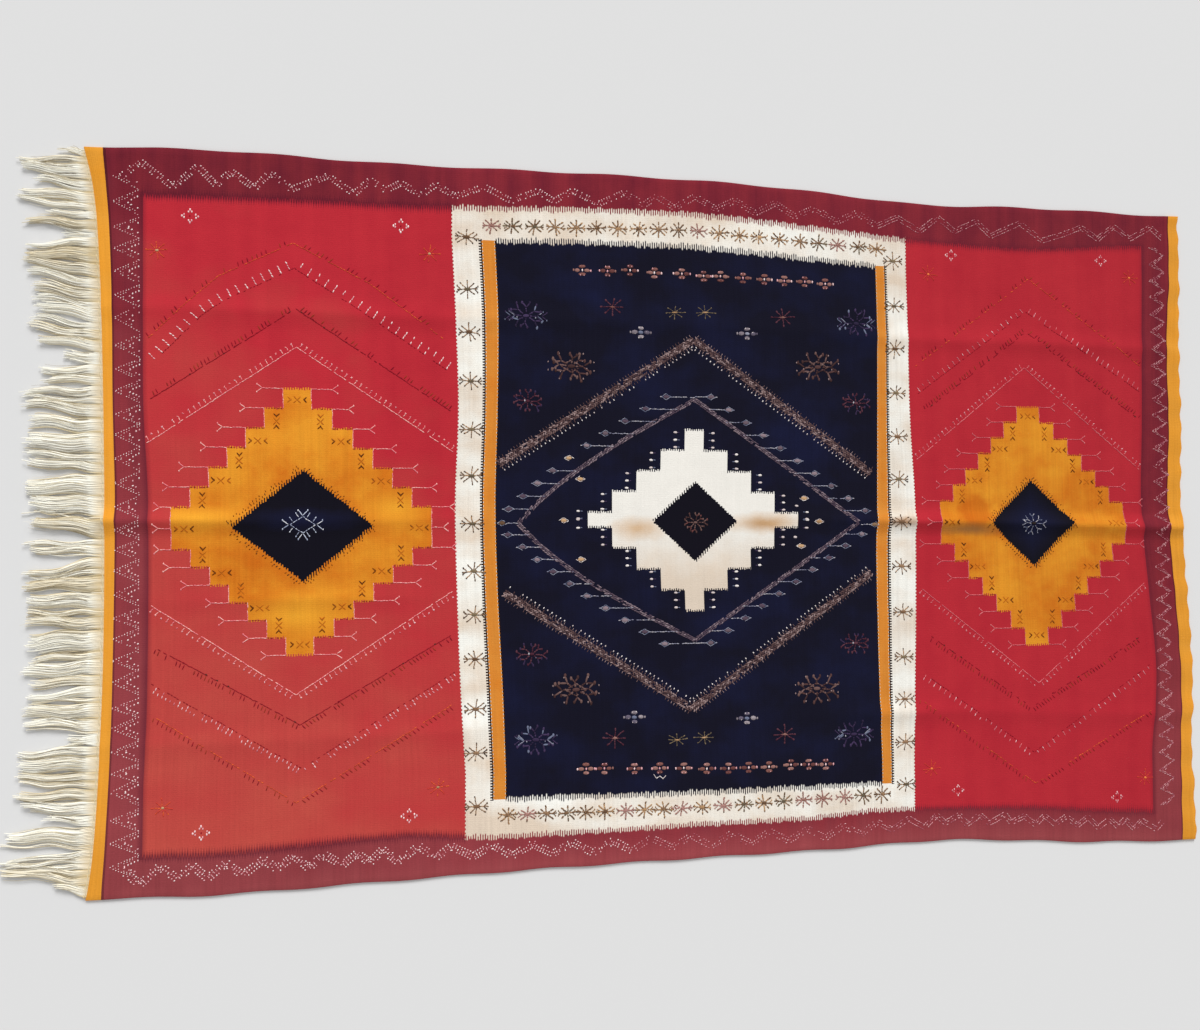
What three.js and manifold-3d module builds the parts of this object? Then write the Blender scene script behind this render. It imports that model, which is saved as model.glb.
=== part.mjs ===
// A berber rug: one flat-woven wool cloth lying on a floor, with its uncut warp ends
// left as a fringe at one end. Millimetres, +Z up, origin under the middle of the cloth,
// warps along X (the fringed end at -X), wefts along Y.

import * as THREE from 'three';
import Module from 'manifold-3d';

const wasm = await Module();
wasm.setup();

// Driving dimensions
const HALF_LENGTH = 1218;      // half the woven length, along the warps
const HALF_WIDTH = 750;        // half the woven width, along the wefts
const CLOTH_THICKNESS = 4;
const GRID_STEP_ALONG = 70;    // spacing of the cloth's facets along the warps
const GRID_STEP_ACROSS = 75;   // and across them, away from the fold lines
const GRID_LEAST_STEP = 9;     // closer facet lines than this are left out

const HEADING_GAP = 0.3;       // clearance between the cloth's end and the heading strip
const HEADING_WIDTH = 6;       // twined strip that the fringe hangs from
const HEADING_THICKNESS = 3;
const HEADING_RISE = 0.3;      // the strip's underside above the locks' underside
const LOCK_PITCH = 12;         // one lock of warp ends for each pitch along the heading
const LOCK_ROOT_HEIGHT = 2.8;
const LOCK_TIP_HEIGHT = 1.8;
const LOCK_FILL = 0.72;        // lock width as a share of the room it has
const LOCK_MOST_WIDTH = 8;
const LOCK_STEPS = 4;          // straight lengths in a lock
const LOCK_ROOT_SEAT = 3;      // how far a lock reaches into the heading
const LOCK_DROP = 45;          // length over which a lock comes down to the floor
const LOCK_WAVE = 3;           // sideways sway of the locks
const LOCK_WAVE_LENGTH = 85;
const LOCK_UNEVEN = 7;         // longest a lock is cut short of its neighbours

// How far each side of the cloth lies outside the nominal rectangle, in mm, at places
// along that side.
const FRINGED_END = [
  { at: -750, out: 20 }, { at: -710, out: 14 }, { at: -600, out: 4 }, { at: -450, out: -2 },
  { at: -260, out: -6 }, { at: 40, out: -4 }, { at: 340, out: 4 }, { at: 520, out: 12 },
  { at: 670, out: 25 }, { at: 750, out: 44 },
];
const FAR_END = [
  { at: -750, out: 20 }, { at: -620, out: 16 }, { at: -530, out: 11 }, { at: -357, out: 17 },
  { at: -160, out: 6 }, { at: 40, out: -7 }, { at: 240, out: -3 }, { at: 440, out: -6 },
  { at: 600, out: -2 }, { at: 750, out: -11 },
];
const PLUS_SIDE = [
  { at: -1218, out: 0 }, { at: -1000, out: 8 }, { at: -640, out: 4 }, { at: -200, out: 10 },
  { at: 150, out: 8 }, { at: 420, out: -6 }, { at: 570, out: -12 }, { at: 840, out: -4 },
  { at: 1218, out: -4 },
];
const MINUS_SIDE = [
  { at: -1218, out: -2 }, { at: -1000, out: 3 }, { at: -700, out: -4 }, { at: -380, out: -12 },
  { at: 0, out: -17 }, { at: 300, out: -20 }, { at: 600, out: -26 }, { at: 950, out: -4 },
  { at: 1218, out: 6 },
];

// Fold lines left by storage, all running along the warps. Each is a ridge at one place
// across the cloth; high is how far its crest stands off the floor at places along it.
const FOLDS = [
  {
    across: -4, half: 34, crisp: 1.5, high: [
      { at: -1218, mm: 9 }, { at: -1050, mm: 6 }, { at: -700, mm: 3 }, { at: -420, mm: 1 },
      { at: -250, mm: 0 }, { at: 160, mm: 0 }, { at: 330, mm: 5 }, { at: 560, mm: 8 },
      { at: 1218, mm: 10 },
    ],
  },
  {
    across: 425, half: 46, crisp: 2, high: [
      { at: -1218, mm: 3 }, { at: -850, mm: 5 }, { at: -450, mm: 4 }, { at: 0, mm: 2 },
      { at: 450, mm: 4 }, { at: 800, mm: 6 }, { at: 1218, mm: 4 },
    ],
  },
  {
    across: -165, half: 36, crisp: 2, high: [
      { at: -1218, mm: 0 }, { at: -1000, mm: 2 }, { at: -830, mm: 4 }, { at: -650, mm: 2 },
      { at: -500, mm: 0 }, { at: 1218, mm: 0 },
    ],
  },
  {
    across: -450, half: 44, crisp: 2, high: [
      { at: -1218, mm: 2 }, { at: -700, mm: 3 }, { at: -200, mm: 0 }, { at: 300, mm: 2 },
      { at: 490, mm: 7 }, { at: 650, mm: 3 }, { at: 1218, mm: 3 },
    ],
  },
];

// The fringe's clumps from the +Y corner to the -Y corner: where each clump's roots end
// along the heading, where its tips begin and end, and how far the tips lie past the
// nominal end of the cloth.
const FRINGE_START = 744;
const CLUMPS = [
  { rootEnd: 731, tipStart: 747, tipEnd: 735, past: 93 },
  { rootEnd: 688, tipStart: 722, tipEnd: 689, past: 168 },
  { rootEnd: 664, tipStart: 684, tipEnd: 667, past: 135 },
  { rootEnd: 621, tipStart: 662, tipEnd: 630, past: 171 },
  { rootEnd: 603, tipStart: 621, tipEnd: 608, past: 119 },
  { rootEnd: 577, tipStart: 601, tipEnd: 587, past: 161 },
  { rootEnd: 567, tipStart: 576, tipEnd: 562, past: 100 },
  { rootEnd: 486, tipStart: 549, tipEnd: 507, past: 156 },
  { rootEnd: 464, tipStart: 503, tipEnd: 485, past: 145 },
  { rootEnd: 363, tipStart: 478, tipEnd: 374, past: 146 },
  { rootEnd: 339, tipStart: 368, tipEnd: 346, past: 144 },
  { rootEnd: 315, tipStart: 335, tipEnd: 315, past: 78 },
  { rootEnd: 273, tipStart: 301, tipEnd: 271, past: 136 },
  { rootEnd: 209, tipStart: 263, tipEnd: 220, past: 154 },
  { rootEnd: 181, tipStart: 213, tipEnd: 178, past: 149 },
  { rootEnd: 99, tipStart: 172, tipEnd: 104, past: 152 },
  { rootEnd: 11, tipStart: 79, tipEnd: 12, past: 151 },
  { rootEnd: -31, tipStart: 5, tipEnd: -17, past: 150 },
  { rootEnd: -66, tipStart: -43, tipEnd: -70, past: 149 },
  { rootEnd: -140, tipStart: -101, tipEnd: -139, past: 146 },
  { rootEnd: -213, tipStart: -145, tipEnd: -211, past: 147 },
  { rootEnd: -326, tipStart: -221, tipEnd: -334, past: 145 },
  { rootEnd: -359, tipStart: -341, tipEnd: -360, past: 142 },
  { rootEnd: -422, tipStart: -366, tipEnd: -411, past: 149 },
  { rootEnd: -448, tipStart: -424, tipEnd: -445, past: 70 },
  { rootEnd: -534, tipStart: -450, tipEnd: -523, past: 152 },
  { rootEnd: -587, tipStart: -534, tipEnd: -572, past: 154 },
  { rootEnd: -605, tipStart: -582, tipEnd: -598, past: 108 },
  { rootEnd: -644, tipStart: -607, tipEnd: -634, past: 187 },
  { rootEnd: -718, tipStart: -663, tipEnd: -696, past: 187 },
  { rootEnd: -743, tipStart: -707, tipEnd: -725, past: 92 },
];

// A smooth curve through a table's rows, read at one place.
function readTable(rows, column, at) {
  const last = rows.length - 1;
  if (at <= rows[0].at) return rows[0][column];
  if (at >= rows[last].at) return rows[last][column];
  const i = rows.findIndex((row) => row.at > at) - 1;
  const slope = (k) => {
    const a = rows[Math.max(k - 1, 0)];
    const b = rows[Math.min(k + 1, last)];
    return (b[column] - a[column]) / (b.at - a.at);
  };
  const span = rows[i + 1].at - rows[i].at;
  const t = (at - rows[i].at) / span;
  const s = 1 - t;
  return s * s * (1 + 2 * t) * rows[i][column] + t * t * (1 + 2 * s) * rows[i + 1][column]
    + span * s * t * (s * slope(i) - t * slope(i + 1));
}

// Height of the cloth's underside over the floor at a nominal place in the cloth.
function lift(along, across) {
  let height = 0;
  for (const fold of FOLDS) {
    const away = Math.abs(across - fold.across) / fold.half;
    if (away < 1) {
      height += Math.max(0, readTable(fold.high, 'mm', along)) * (1 - away) ** fold.crisp;
    }
  }
  return height;
}

// The real place of a nominal place: the nominal rectangle is stretched to the four
// uneven sides, and lies over the folds.
function place(along, across) {
  const minusX = -HALF_LENGTH - readTable(FRINGED_END, 'out', across);
  const plusX = HALF_LENGTH + readTable(FAR_END, 'out', across);
  const minusY = -HALF_WIDTH - readTable(MINUS_SIDE, 'out', along);
  const plusY = HALF_WIDTH + readTable(PLUS_SIDE, 'out', along);
  const x = THREE.MathUtils.mapLinear(along, -HALF_LENGTH, HALF_LENGTH, minusX, plusX);
  const y = THREE.MathUtils.mapLinear(across, -HALF_WIDTH, HALF_WIDTH, minusY, plusY);
  return new THREE.Vector3(x, y, lift(along, across));
}

// Evenly spaced facet lines from -half to +half, joined by the wanted extra lines.
function facetLines(half, step, wanted) {
  const count = Math.ceil((2 * half) / step);
  const lines = [-half, half, ...wanted];
  for (let i = 1; i < count; i += 1) {
    const line = THREE.MathUtils.lerp(-half, half, i / count);
    if (lines.every((other) => Math.abs(other - line) > GRID_LEAST_STEP)) lines.push(line);
  }
  return lines.sort((a, b) => a - b);
}

const FACETS_ALONG = facetLines(HALF_LENGTH, GRID_STEP_ALONG, []);
const FACETS_ACROSS = facetLines(
  HALF_WIDTH,
  GRID_STEP_ACROSS,
  FOLDS.flatMap(({ across, half }) => [-1, -0.4, 0, 0.4, 1].map((share) => across + share * half)),
);

// A closed slab between a lower and an upper sheet of points, given as rows of equal length.
function slab(lower, upper) {
  const rows = lower.length;
  const columns = lower[0].length;
  const points = [...lower.flat(), ...upper.flat()];
  const low = (i, j) => i * columns + j;
  const high = (i, j) => rows * columns + low(i, j);
  const faces = [];
  const quad = (a, b, c, d) => faces.push(a, b, c, a, c, d);
  for (let i = 0; i < rows - 1; i += 1) {
    for (let j = 0; j < columns - 1; j += 1) {
      quad(high(i, j), high(i + 1, j), high(i + 1, j + 1), high(i, j + 1));
      quad(low(i, j), low(i, j + 1), low(i + 1, j + 1), low(i + 1, j));
    }
    quad(low(i, 0), low(i + 1, 0), high(i + 1, 0), high(i, 0));
    quad(low(i + 1, columns - 1), low(i, columns - 1), high(i, columns - 1), high(i + 1, columns - 1));
  }
  for (let j = 0; j < columns - 1; j += 1) {
    quad(low(0, j + 1), low(0, j), high(0, j), high(0, j + 1));
    quad(low(rows - 1, j), low(rows - 1, j + 1), high(rows - 1, j + 1), high(rows - 1, j));
  }
  const geometry = new THREE.BufferGeometry().setFromPoints(points);
  geometry.setIndex(faces);
  return geometry;
}

const raised = (sheet, by) => sheet.map((row) => row.map((p) => p.clone().setZ(p.z + by)));

// The woven cloth: one sheet of even thickness over its folds.
function clothGeometry() {
  const underside = FACETS_ALONG.map((along) => FACETS_ACROSS.map((across) => place(along, across)));
  return slab(underside, raised(underside, CLOTH_THICKNESS));
}

// The heading strip, just clear of the cloth's end and following its curve and lift.
function headingGeometry() {
  const shifted = (by) => FACETS_ACROSS.map((across) => {
    const edge = place(-HALF_LENGTH, across);
    return new THREE.Vector3(edge.x - by, edge.y, edge.z + HEADING_RISE);
  });
  const underside = [shifted(HEADING_GAP + HEADING_WIDTH), shifted(HEADING_GAP)];
  return slab(underside, raised(underside, HEADING_THICKNESS));
}

// One lock: a four-sided strand from the heading to its tip, level on the floor once it
// has come down from the heading, and swaying sideways in step with its neighbours.
function lockGeometry({ rootAcross, tipAcross, rootRoom, tipRoom, past }) {
  const root = place(-HALF_LENGTH, rootAcross);
  const startX = root.x - HEADING_GAP - HEADING_WIDTH + LOCK_ROOT_SEAT;
  const endX = -HALF_LENGTH - past;
  const sections = [];
  for (let step = 0; step <= LOCK_STEPS; step += 1) {
    const share = step / LOCK_STEPS;
    const x = THREE.MathUtils.lerp(startX, endX, share);
    const out = startX - x;
    const sway = LOCK_WAVE * Math.sin((2 * Math.PI * x) / LOCK_WAVE_LENGTH) * Math.min(1, out / LOCK_DROP);
    const y = THREE.MathUtils.lerp(root.y, tipAcross, THREE.MathUtils.smoothstep(share, 0, 1)) + sway;
    const room = THREE.MathUtils.lerp(rootRoom, tipRoom, share);
    const halfWidth = Math.min(LOCK_MOST_WIDTH, room * LOCK_FILL) / 2;
    const z = root.z * (1 - THREE.MathUtils.smoothstep(out, 0, LOCK_DROP));
    const height = THREE.MathUtils.lerp(LOCK_ROOT_HEIGHT, LOCK_TIP_HEIGHT, share);
    sections.push({ x, y, z, halfWidth, height });
  }
  const underside = sections.reverse().map(({ x, y, z, halfWidth }) => [
    new THREE.Vector3(x, y - halfWidth, z), new THREE.Vector3(x, y + halfWidth, z),
  ]);
  const top = underside.map((row, i) => row.map((p) => p.clone().setZ(p.z + sections[i].height)));
  return slab(underside, top);
}

// Every lock's root, tip and room, worked out clump by clump.
function lockPlans() {
  const plans = [];
  let rootStart = FRINGE_START;
  for (const { rootEnd, tipStart, tipEnd, past } of CLUMPS) {
    const count = Math.max(1, Math.round((rootStart - rootEnd) / LOCK_PITCH));
    for (let i = 0; i < count; i += 1) {
      const share = (i + 0.5) / count;
      plans.push({
        rootAcross: THREE.MathUtils.lerp(rootStart, rootEnd, share),
        tipAcross: THREE.MathUtils.lerp(tipStart, tipEnd, share),
        rootRoom: (rootStart - rootEnd) / count,
        tipRoom: (tipStart - tipEnd) / count,
        past: past - LOCK_UNEVEN * (0.5 + 0.5 * Math.sin(plans.length * 2.4)),
      });
    }
    rootStart = rootEnd;
  }
  return plans;
}

function solidFrom(geometry) {
  return new wasm.Manifold(new wasm.Mesh({
    numProp: 3,
    vertProperties: new Float32Array(geometry.getAttribute('position').array),
    triVerts: new Uint32Array(geometry.getIndex().array),
  }));
}

function geometryFrom(solid) {
  const mesh = solid.getMesh();
  const geometry = new THREE.BufferGeometry();
  geometry.setAttribute('position', new THREE.BufferAttribute(new Float32Array(mesh.vertProperties), 3));
  geometry.setIndex(new THREE.BufferAttribute(new Uint32Array(mesh.triVerts), 1));
  return geometry;
}

// The heading with every lock's root joined into it.
function fringeGeometry() {
  let fringe = solidFrom(headingGeometry());
  for (const plan of lockPlans()) fringe = fringe.add(solidFrom(lockGeometry(plan)));
  return geometryFrom(fringe);
}

function piece(name, geometry, color) {
  geometry.computeVertexNormals();
  const material = new THREE.MeshStandardMaterial({ color, roughness: 0.9, metalness: 0 });
  const mesh = new THREE.Mesh(geometry, material);
  mesh.name = name;
  return mesh;
}

const rug = new THREE.Group();
rug.add(piece('woven_cloth', clothGeometry(), 0xb83a44));
rug.add(piece('warp_fringe', fringeGeometry(), 0xe6dcc3));

export default rug;
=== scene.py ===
"""A berber rug lying on a pale floor: a flat-woven wool cloth with stitched motifs and a fringe.

Sizes are millimetres, turned to metres by MM where a mesh is made. X runs along the warps away
from the fringe, Y across the rug, and the origin is on the floor under the middle of the cloth.
"""
import math
import random

import bpy
from mathutils import Euler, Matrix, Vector, noise


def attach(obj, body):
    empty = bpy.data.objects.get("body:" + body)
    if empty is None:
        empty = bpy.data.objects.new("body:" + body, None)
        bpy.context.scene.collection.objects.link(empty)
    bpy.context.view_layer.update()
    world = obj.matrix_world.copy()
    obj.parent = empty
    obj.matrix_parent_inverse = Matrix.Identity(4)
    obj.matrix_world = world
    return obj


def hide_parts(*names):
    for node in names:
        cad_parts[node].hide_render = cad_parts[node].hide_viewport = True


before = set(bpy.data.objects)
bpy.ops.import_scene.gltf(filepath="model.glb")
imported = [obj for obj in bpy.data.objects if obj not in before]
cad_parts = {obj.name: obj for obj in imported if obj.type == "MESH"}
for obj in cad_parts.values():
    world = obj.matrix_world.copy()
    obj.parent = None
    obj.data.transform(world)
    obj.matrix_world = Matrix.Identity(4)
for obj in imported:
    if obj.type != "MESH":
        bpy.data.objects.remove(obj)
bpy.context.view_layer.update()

MM = 0.001

# The cloth's driving sizes and uneven sides, as in the part's source
HALF_LENGTH = 1218
HALF_WIDTH = 750
CLOTH_THICKNESS = 4
HEADING_GAP = 0.3
LOCK_DROP = 45                         # length over which the warp ends come down to the floor

# Places in the even design, along the rug and then across it
BAND_START, BAND_END = -1200, 1190     # inner edges of the yellow end bands
PANEL_START, PANEL_END = -1137, 1118   # outer ends of the two red panels
FRAME_REACH = 515                      # half the length of the white frame
FIELD_REACH = 432                      # half the length of the navy field
STRIPE_START, STRIPE_END = -457, 455   # outer edges of the yellow stripes at the field's ends
PANEL_LOW, PANEL_HIGH = -662, 665      # long sides of the red panels and the frame
FIELD_LOW, FIELD_HIGH = -590, 602      # long sides of the navy field

# How far each side lies outside the nominal rectangle: (place along that side, distance out)
FRINGED_END = (
    (-750, 20), (-710, 14), (-600, 4), (-450, -2), (-260, -6),
    (40, -4), (340, 4), (520, 12), (670, 25), (750, 44),
)
FAR_END = (
    (-750, 20), (-620, 16), (-530, 11), (-357, 17), (-160, 6),
    (40, -7), (240, -3), (440, -6), (600, -2), (750, -4),
)
PLUS_SIDE = (
    (-1218, 0), (-1000, 8), (-640, 4), (-200, 10), (150, 8),
    (420, -6), (570, -12), (840, -4), (1218, -4),
)
MINUS_SIDE = (
    (-1218, -2), (-1000, 3), (-700, -4), (-380, -12), (0, -17),
    (300, -20), (600, -26), (950, -4), (1218, 6),
)

# Storage folds along the warps: place across, half width, crispness, and crest heights as
# (place along, height)
FOLDS = (
    (-4, 34, 1.5, ((-1218, 10), (-1050, 8), (-700, 4), (-420, 1), (-250, 0), (160, 0), (330, 5), (500, 10),
                   (700, 11), (1218, 11))),
    (425, 46, 2, ((-1218, 3), (-850, 5), (-450, 4), (0, 2), (450, 4), (800, 6), (1218, 4))),
    (-165, 36, 2, ((-1218, 0), (-1000, 2), (-830, 4), (-650, 2), (-500, 0), (1218, 0))),
    (-450, 44, 2, ((-1218, 2), (-700, 3), (-200, 0), (300, 2), (490, 7), (650, 3), (1218, 3))),
)

# Woven lines that run across the rug, from the fringed end: their place in the even design,
# and their real place along the rug as (place across, place along)
LINES_ACROSS = (
    (BAND_START, ((-720, -1207), (-530, -1198), (-357, -1194), (40, -1193), (240, -1200), (440, -1204),
                  (610, -1212), (740, -1223))),
    (PANEL_START, ((-534, -1133), (-357, -1128), (40, -1131), (240, -1143), (440, -1146), (610, -1148))),
    (-FRAME_REACH, ((-534, -497), (-357, -508), (-160, -516), (40, -521), (240, -515), (440, -522),
                    (610, -531))),
    (-FIELD_REACH, ((-534, -413), (-357, -420), (-160, -431), (40, -437), (240, -433), (440, -432),
                    (610, -440))),
    (FIELD_REACH, ((-534, 438), (-357, 432), (-80, 427), (40, 430), (440, 434), (600, 431))),
    (FRAME_REACH, ((-534, 515), (-357, 519), (-160, 523), (40, 523), (240, 512), (440, 508), (600, 504))),
    (PANEL_END, ((-534, 1123), (-357, 1138), (-160, 1121), (40, 1104), (240, 1109), (440, 1112),
                 (600, 1115))),
    (BAND_END, ((-534, 1200), (-357, 1203), (-160, 1190), (40, 1174), (240, 1181), (440, 1178),
                (600, 1189))),
)
# Woven lines that run along the rug, from the minus side: the same, as (place along, place across)
LINES_ALONG = (
    (PANEL_LOW, ((-1100, -670), (-1000, -673), (-816, -662), (-622, -653), (-500, -664), (-202, -664),
                 (13, -660), (250, -659), (415, -648), (560, -650), (815, -659), (938, -671), (1122, -684))),
    (FIELD_LOW, ((-430, -587), (0, -592), (430, -590))),
    (0, ((-1100, -9), (-830, -9), (-500, -3), (-202, 2), (1000, 2))),
    (FIELD_HIGH, ((-430, 601), (-202, 608), (17, 609), (250, 598), (420, 589))),
    (PANEL_HIGH, ((-1107, 657), (-830, 663), (-630, 664), (-400, 672), (-202, 680), (17, 682), (250, 669),
                  (420, 657), (575, 649), (834, 645), (1067, 665), (1177, 669))),
)


def read_table(rows, at):
    """A smooth curve through a table's (place, value) rows, read at one place."""
    if at <= rows[0][0]:
        return rows[0][1]
    if at >= rows[-1][0]:
        return rows[-1][1]
    i = next(k for k, row in enumerate(rows) if row[0] > at) - 1

    def slope(k):
        (x0, y0), (x1, y1) = rows[max(k - 1, 0)], rows[min(k + 1, len(rows) - 1)]
        return (y1 - y0) / (x1 - x0)

    span = rows[i + 1][0] - rows[i][0]
    t = (at - rows[i][0]) / span
    s = 1 - t
    return (
        s * s * (1 + 2 * t) * rows[i][1]
        + t * t * (1 + 2 * s) * rows[i + 1][1]
        + span * s * t * (s * slope(i) - t * slope(i + 1))
    )


def blend_between(lines, at):
    """Straight-line reading between (design place, real place) pairs."""
    for (d0, r0), (d1, r1) in zip(lines, lines[1:]):
        if at <= d1 or d1 == lines[-1][0]:
            return r0 + (r1 - r0) * (at - d0) / (d1 - d0)


def side_y(design_x):
    """Where the two long sides lie at a place along the rug."""
    return -HALF_WIDTH - read_table(MINUS_SIDE, design_x), HALF_WIDTH + read_table(PLUS_SIDE, design_x)


def place(u, v):
    """The real (x, y) of a point of the even design, u along the rug and v across it."""
    start = -HALF_LENGTH - read_table(FRINGED_END, v)
    end = HALF_LENGTH + read_table(FAR_END, v) + 2 * math.sin(v / 9)
    inner = [(line, read_table(places, v)) for line, places in LINES_ACROSS]
    x = blend_between([(-HALF_LENGTH, start), *inner, (HALF_LENGTH, end)], u)
    low, high = side_y(u)
    low, high = low + 1.6 * math.sin(u / 31), high + 1.6 * math.sin(u / 37)
    inner = [(line, read_table(places, u)) for line, places in LINES_ALONG]
    return x, blend_between([(-HALF_WIDTH, low), *inner, (HALF_WIDTH, high)], v)


def lift(x, y):
    """Height of the cloth's underside over the floor: the storage folds and a slight unevenness."""
    low, high = side_y(x)
    across = -HALF_WIDTH + 2 * HALF_WIDTH * (y - low) / (high - low)
    height = 0.0
    for line, half, crisp, crests in FOLDS:
        away = math.hypot((across - line) / half, 0.15 * (crisp - 1))
        if away < 1:
            height += max(0.0, read_table(crests, x)) * (1 - away) ** crisp
    waviness = noise.noise(Vector((x / 210, y / 90, 3.0))) + 0.5 * noise.noise(Vector((x / 70, y / 45, 9.0)))
    ripple = math.exp(-((HALF_LENGTH + 10 - x) / 60) ** 2) * (1 + math.sin(2 * math.pi * y / 92))
    return height + 0.8 * max(0.0, waviness) + 1.3 * ripple


def surface(x, y, above=0.0):
    """A point on the cloth's upper face, in metres."""
    return Vector((x, y, lift(x, y) + CLOTH_THICKNESS + above)) * MM


def surface_tilt(x, y, turn):
    """Euler angles that lay a piece along the direction turn on the cloth's upper face."""
    step = 3
    slope_x = (lift(x + step, y) - lift(x - step, y)) / (2 * step)
    slope_y = (lift(x, y + step) - lift(x, y - step)) / (2 * step)
    normal = Vector((-slope_x, -slope_y, 1)).normalized()
    lean = Vector((0, 0, 1)).rotation_difference(normal)
    return (lean.to_matrix() @ Euler((0, 0, turn)).to_matrix()).to_euler()


# Making pieces


def select_nothing():
    """Deselects every object, so that an operator acts on one piece alone."""
    for other in bpy.context.selected_objects:
        other.select_set(False)


def keep(piece, slot, finish, *nodes):
    """Makes a piece part of the rug: on the root body, in one finish, in place of the named nodes."""
    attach(piece, "root")
    if nodes:
        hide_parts(*nodes)
    piece.data.materials.clear()
    piece.data.materials.append(finish)
    return piece


def apply_modifiers(piece):
    """Turns a piece's modifiers into its mesh."""
    select_nothing()
    bpy.context.view_layer.objects.active = piece
    piece.select_set(True)
    for modifier in list(piece.modifiers):
        bpy.ops.object.modifier_apply(modifier=modifier.name)


def new_piece(name, points, edges, **notes):
    """A loose set of points and edges, with a named list of numbers, vectors or colours on them."""
    mesh = bpy.data.meshes.new(name)
    mesh.from_pydata(points, edges, [])
    kinds = {1: ("FLOAT", "value"), 3: ("FLOAT_VECTOR", "vector"), 4: ("FLOAT_COLOR", "color")}
    for note, values in notes.items():
        kind, field = kinds[len(values) // len(points)]
        mesh.attributes.new(note, kind, "POINT").data.foreach_set(field, values)
    piece = bpy.data.objects.new(name, mesh)
    bpy.context.collection.objects.link(piece)
    return piece


def new_nodes(piece):
    """Empty geometry nodes on a piece: what makes a node, what links two, and the input's socket."""
    group = bpy.data.node_groups.new(piece.name, "GeometryNodeTree")
    for way in ("INPUT", "OUTPUT"):
        group.interface.new_socket("Geometry", in_out=way, socket_type="NodeSocketGeometry")
    piece.modifiers.new("nodes", "NODES").node_group = group
    return group.nodes.new, group.links.new, group.nodes.new("NodeGroupInput").outputs[0]


GRID_STEP = 12      # between the lines of the cloth's grid
FOLD_STEP = 6       # between those that run along a fold


def design_lines(half, step, closer):
    """Grid lines from -half to half, step apart, and FOLD_STEP apart within the closer spans."""
    lines, at = [-half], -half
    while at < half:
        inside = any(low - FOLD_STEP <= at < high for low, high in closer)
        at = min(half, at + (FOLD_STEP if inside else step))
        if half - at < FOLD_STEP / 2:
            at = half
        lines.append(at)
    return lines


def weave_cloth():
    """The cloth: a fine grid laid over the folds, thickened, with softened selvedges."""
    along = design_lines(HALF_LENGTH, GRID_STEP, [])
    across = design_lines(HALF_WIDTH, GRID_STEP, [(line - half, line + half) for line, half, _, _ in FOLDS])
    select_nothing()
    bpy.ops.mesh.primitive_grid_add(x_subdivisions=len(along) - 1, y_subdivisions=len(across) - 1, size=2)
    cloth = bpy.context.object
    cloth.name = cloth.data.name = "woven_cloth_dressed"
    mesh = cloth.data
    columns = [round((p.co.x + 1) / 2 * (len(along) - 1)) for p in mesh.vertices]
    rows = [round((p.co.y + 1) / 2 * (len(across) - 1)) for p in mesh.vertices]
    for point, i, j in zip(mesh.vertices, columns, rows):
        point.co = surface(*place(along[i], across[j]))
    layer = mesh.uv_layers[0]
    layer.name = "design"
    for loop in mesh.loops:
        i, j = columns[loop.vertex_index], rows[loop.vertex_index]
        layer.data[loop.index].uv = (along[i] * MM, across[j] * MM)
    solid = cloth.modifiers.new("thickness", "SOLIDIFY")
    solid.thickness = CLOTH_THICKNESS * MM
    solid.offset = -1
    edge = cloth.modifiers.new("selvedge", "BEVEL")
    edge.limit_method = "ANGLE"
    edge.angle_limit = math.radians(60)
    edge.width = 1.3 * MM
    edge.segments = 2
    apply_modifiers(cloth)
    bpy.ops.object.shade_smooth_by_angle(angle=math.radians(50))
    return cloth


# Materials


class Number:
    """A number flowing through a material's nodes, so that sums with it read as sums."""

    def __init__(self, tree, socket):
        self.tree = tree
        self.socket = socket

    def using(self, operation, *others):
        node = self.tree.nodes.new("ShaderNodeMath")
        node.operation = operation
        for inlet, value in zip(node.inputs, (self, *others)):
            if isinstance(value, Number):
                self.tree.links.new(value.socket, inlet)
            else:
                inlet.default_value = value
        return Number(self.tree, node.outputs[0])

    def __add__(self, other):
        return self.using("ADD", other)

    def __sub__(self, other):
        return self.using("SUBTRACT", other)

    def __mul__(self, other):
        return self.using("MULTIPLY", other)

    def __truediv__(self, other):
        return self.using("DIVIDE", other)

    def __neg__(self):
        return self * -1

    def above(self, limit):
        return self.using("GREATER_THAN", limit)

    def below(self, limit):
        return self.using("LESS_THAN", limit)

    def size(self):
        return self.using("ABSOLUTE")

    def floor(self):
        return self.using("FLOOR")

    def ceil(self):
        return self.using("CEIL")

    def most(self, other):
        return self.using("MAXIMUM", other)

    def least(self, other):
        return self.using("MINIMUM", other)

    def between(self, low, high):
        return self.above(low) * self.below(high)

    def outside(self):
        """1 where this mask is 0."""
        return self * -1 + 1

    def held(self):
        """Kept from 0 to 1."""
        return self.most(0).least(1)

    def softly_between(self, low, high, softness):
        """1 between two limits and 0 beyond them, turning over a distance of softness."""
        return ((self - low).least(self * -1 + high) / softness + 0.5).held()


def vector_of(tree, x, y, z=0.0):
    """A vector of three numbers."""
    node = tree.nodes.new("ShaderNodeCombineXYZ")
    for inlet, value in zip(node.inputs, (x, y, z)):
        if isinstance(value, Number):
            tree.links.new(value.socket, inlet)
        else:
            inlet.default_value = value
    return node.outputs[0]


def cloudy(tree, vector, detail=2.0, rough=0.5):
    """Smooth noise from -1 to 1 or so, one cloud for each unit of the vector."""
    node = tree.nodes.new("ShaderNodeTexNoise")
    node.inputs["Scale"].default_value = 1
    node.inputs["Detail"].default_value = detail
    node.inputs["Roughness"].default_value = rough
    tree.links.new(vector, node.inputs["Vector"])
    return (Number(tree, node.outputs["Fac"]) - 0.5) * 3


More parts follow.
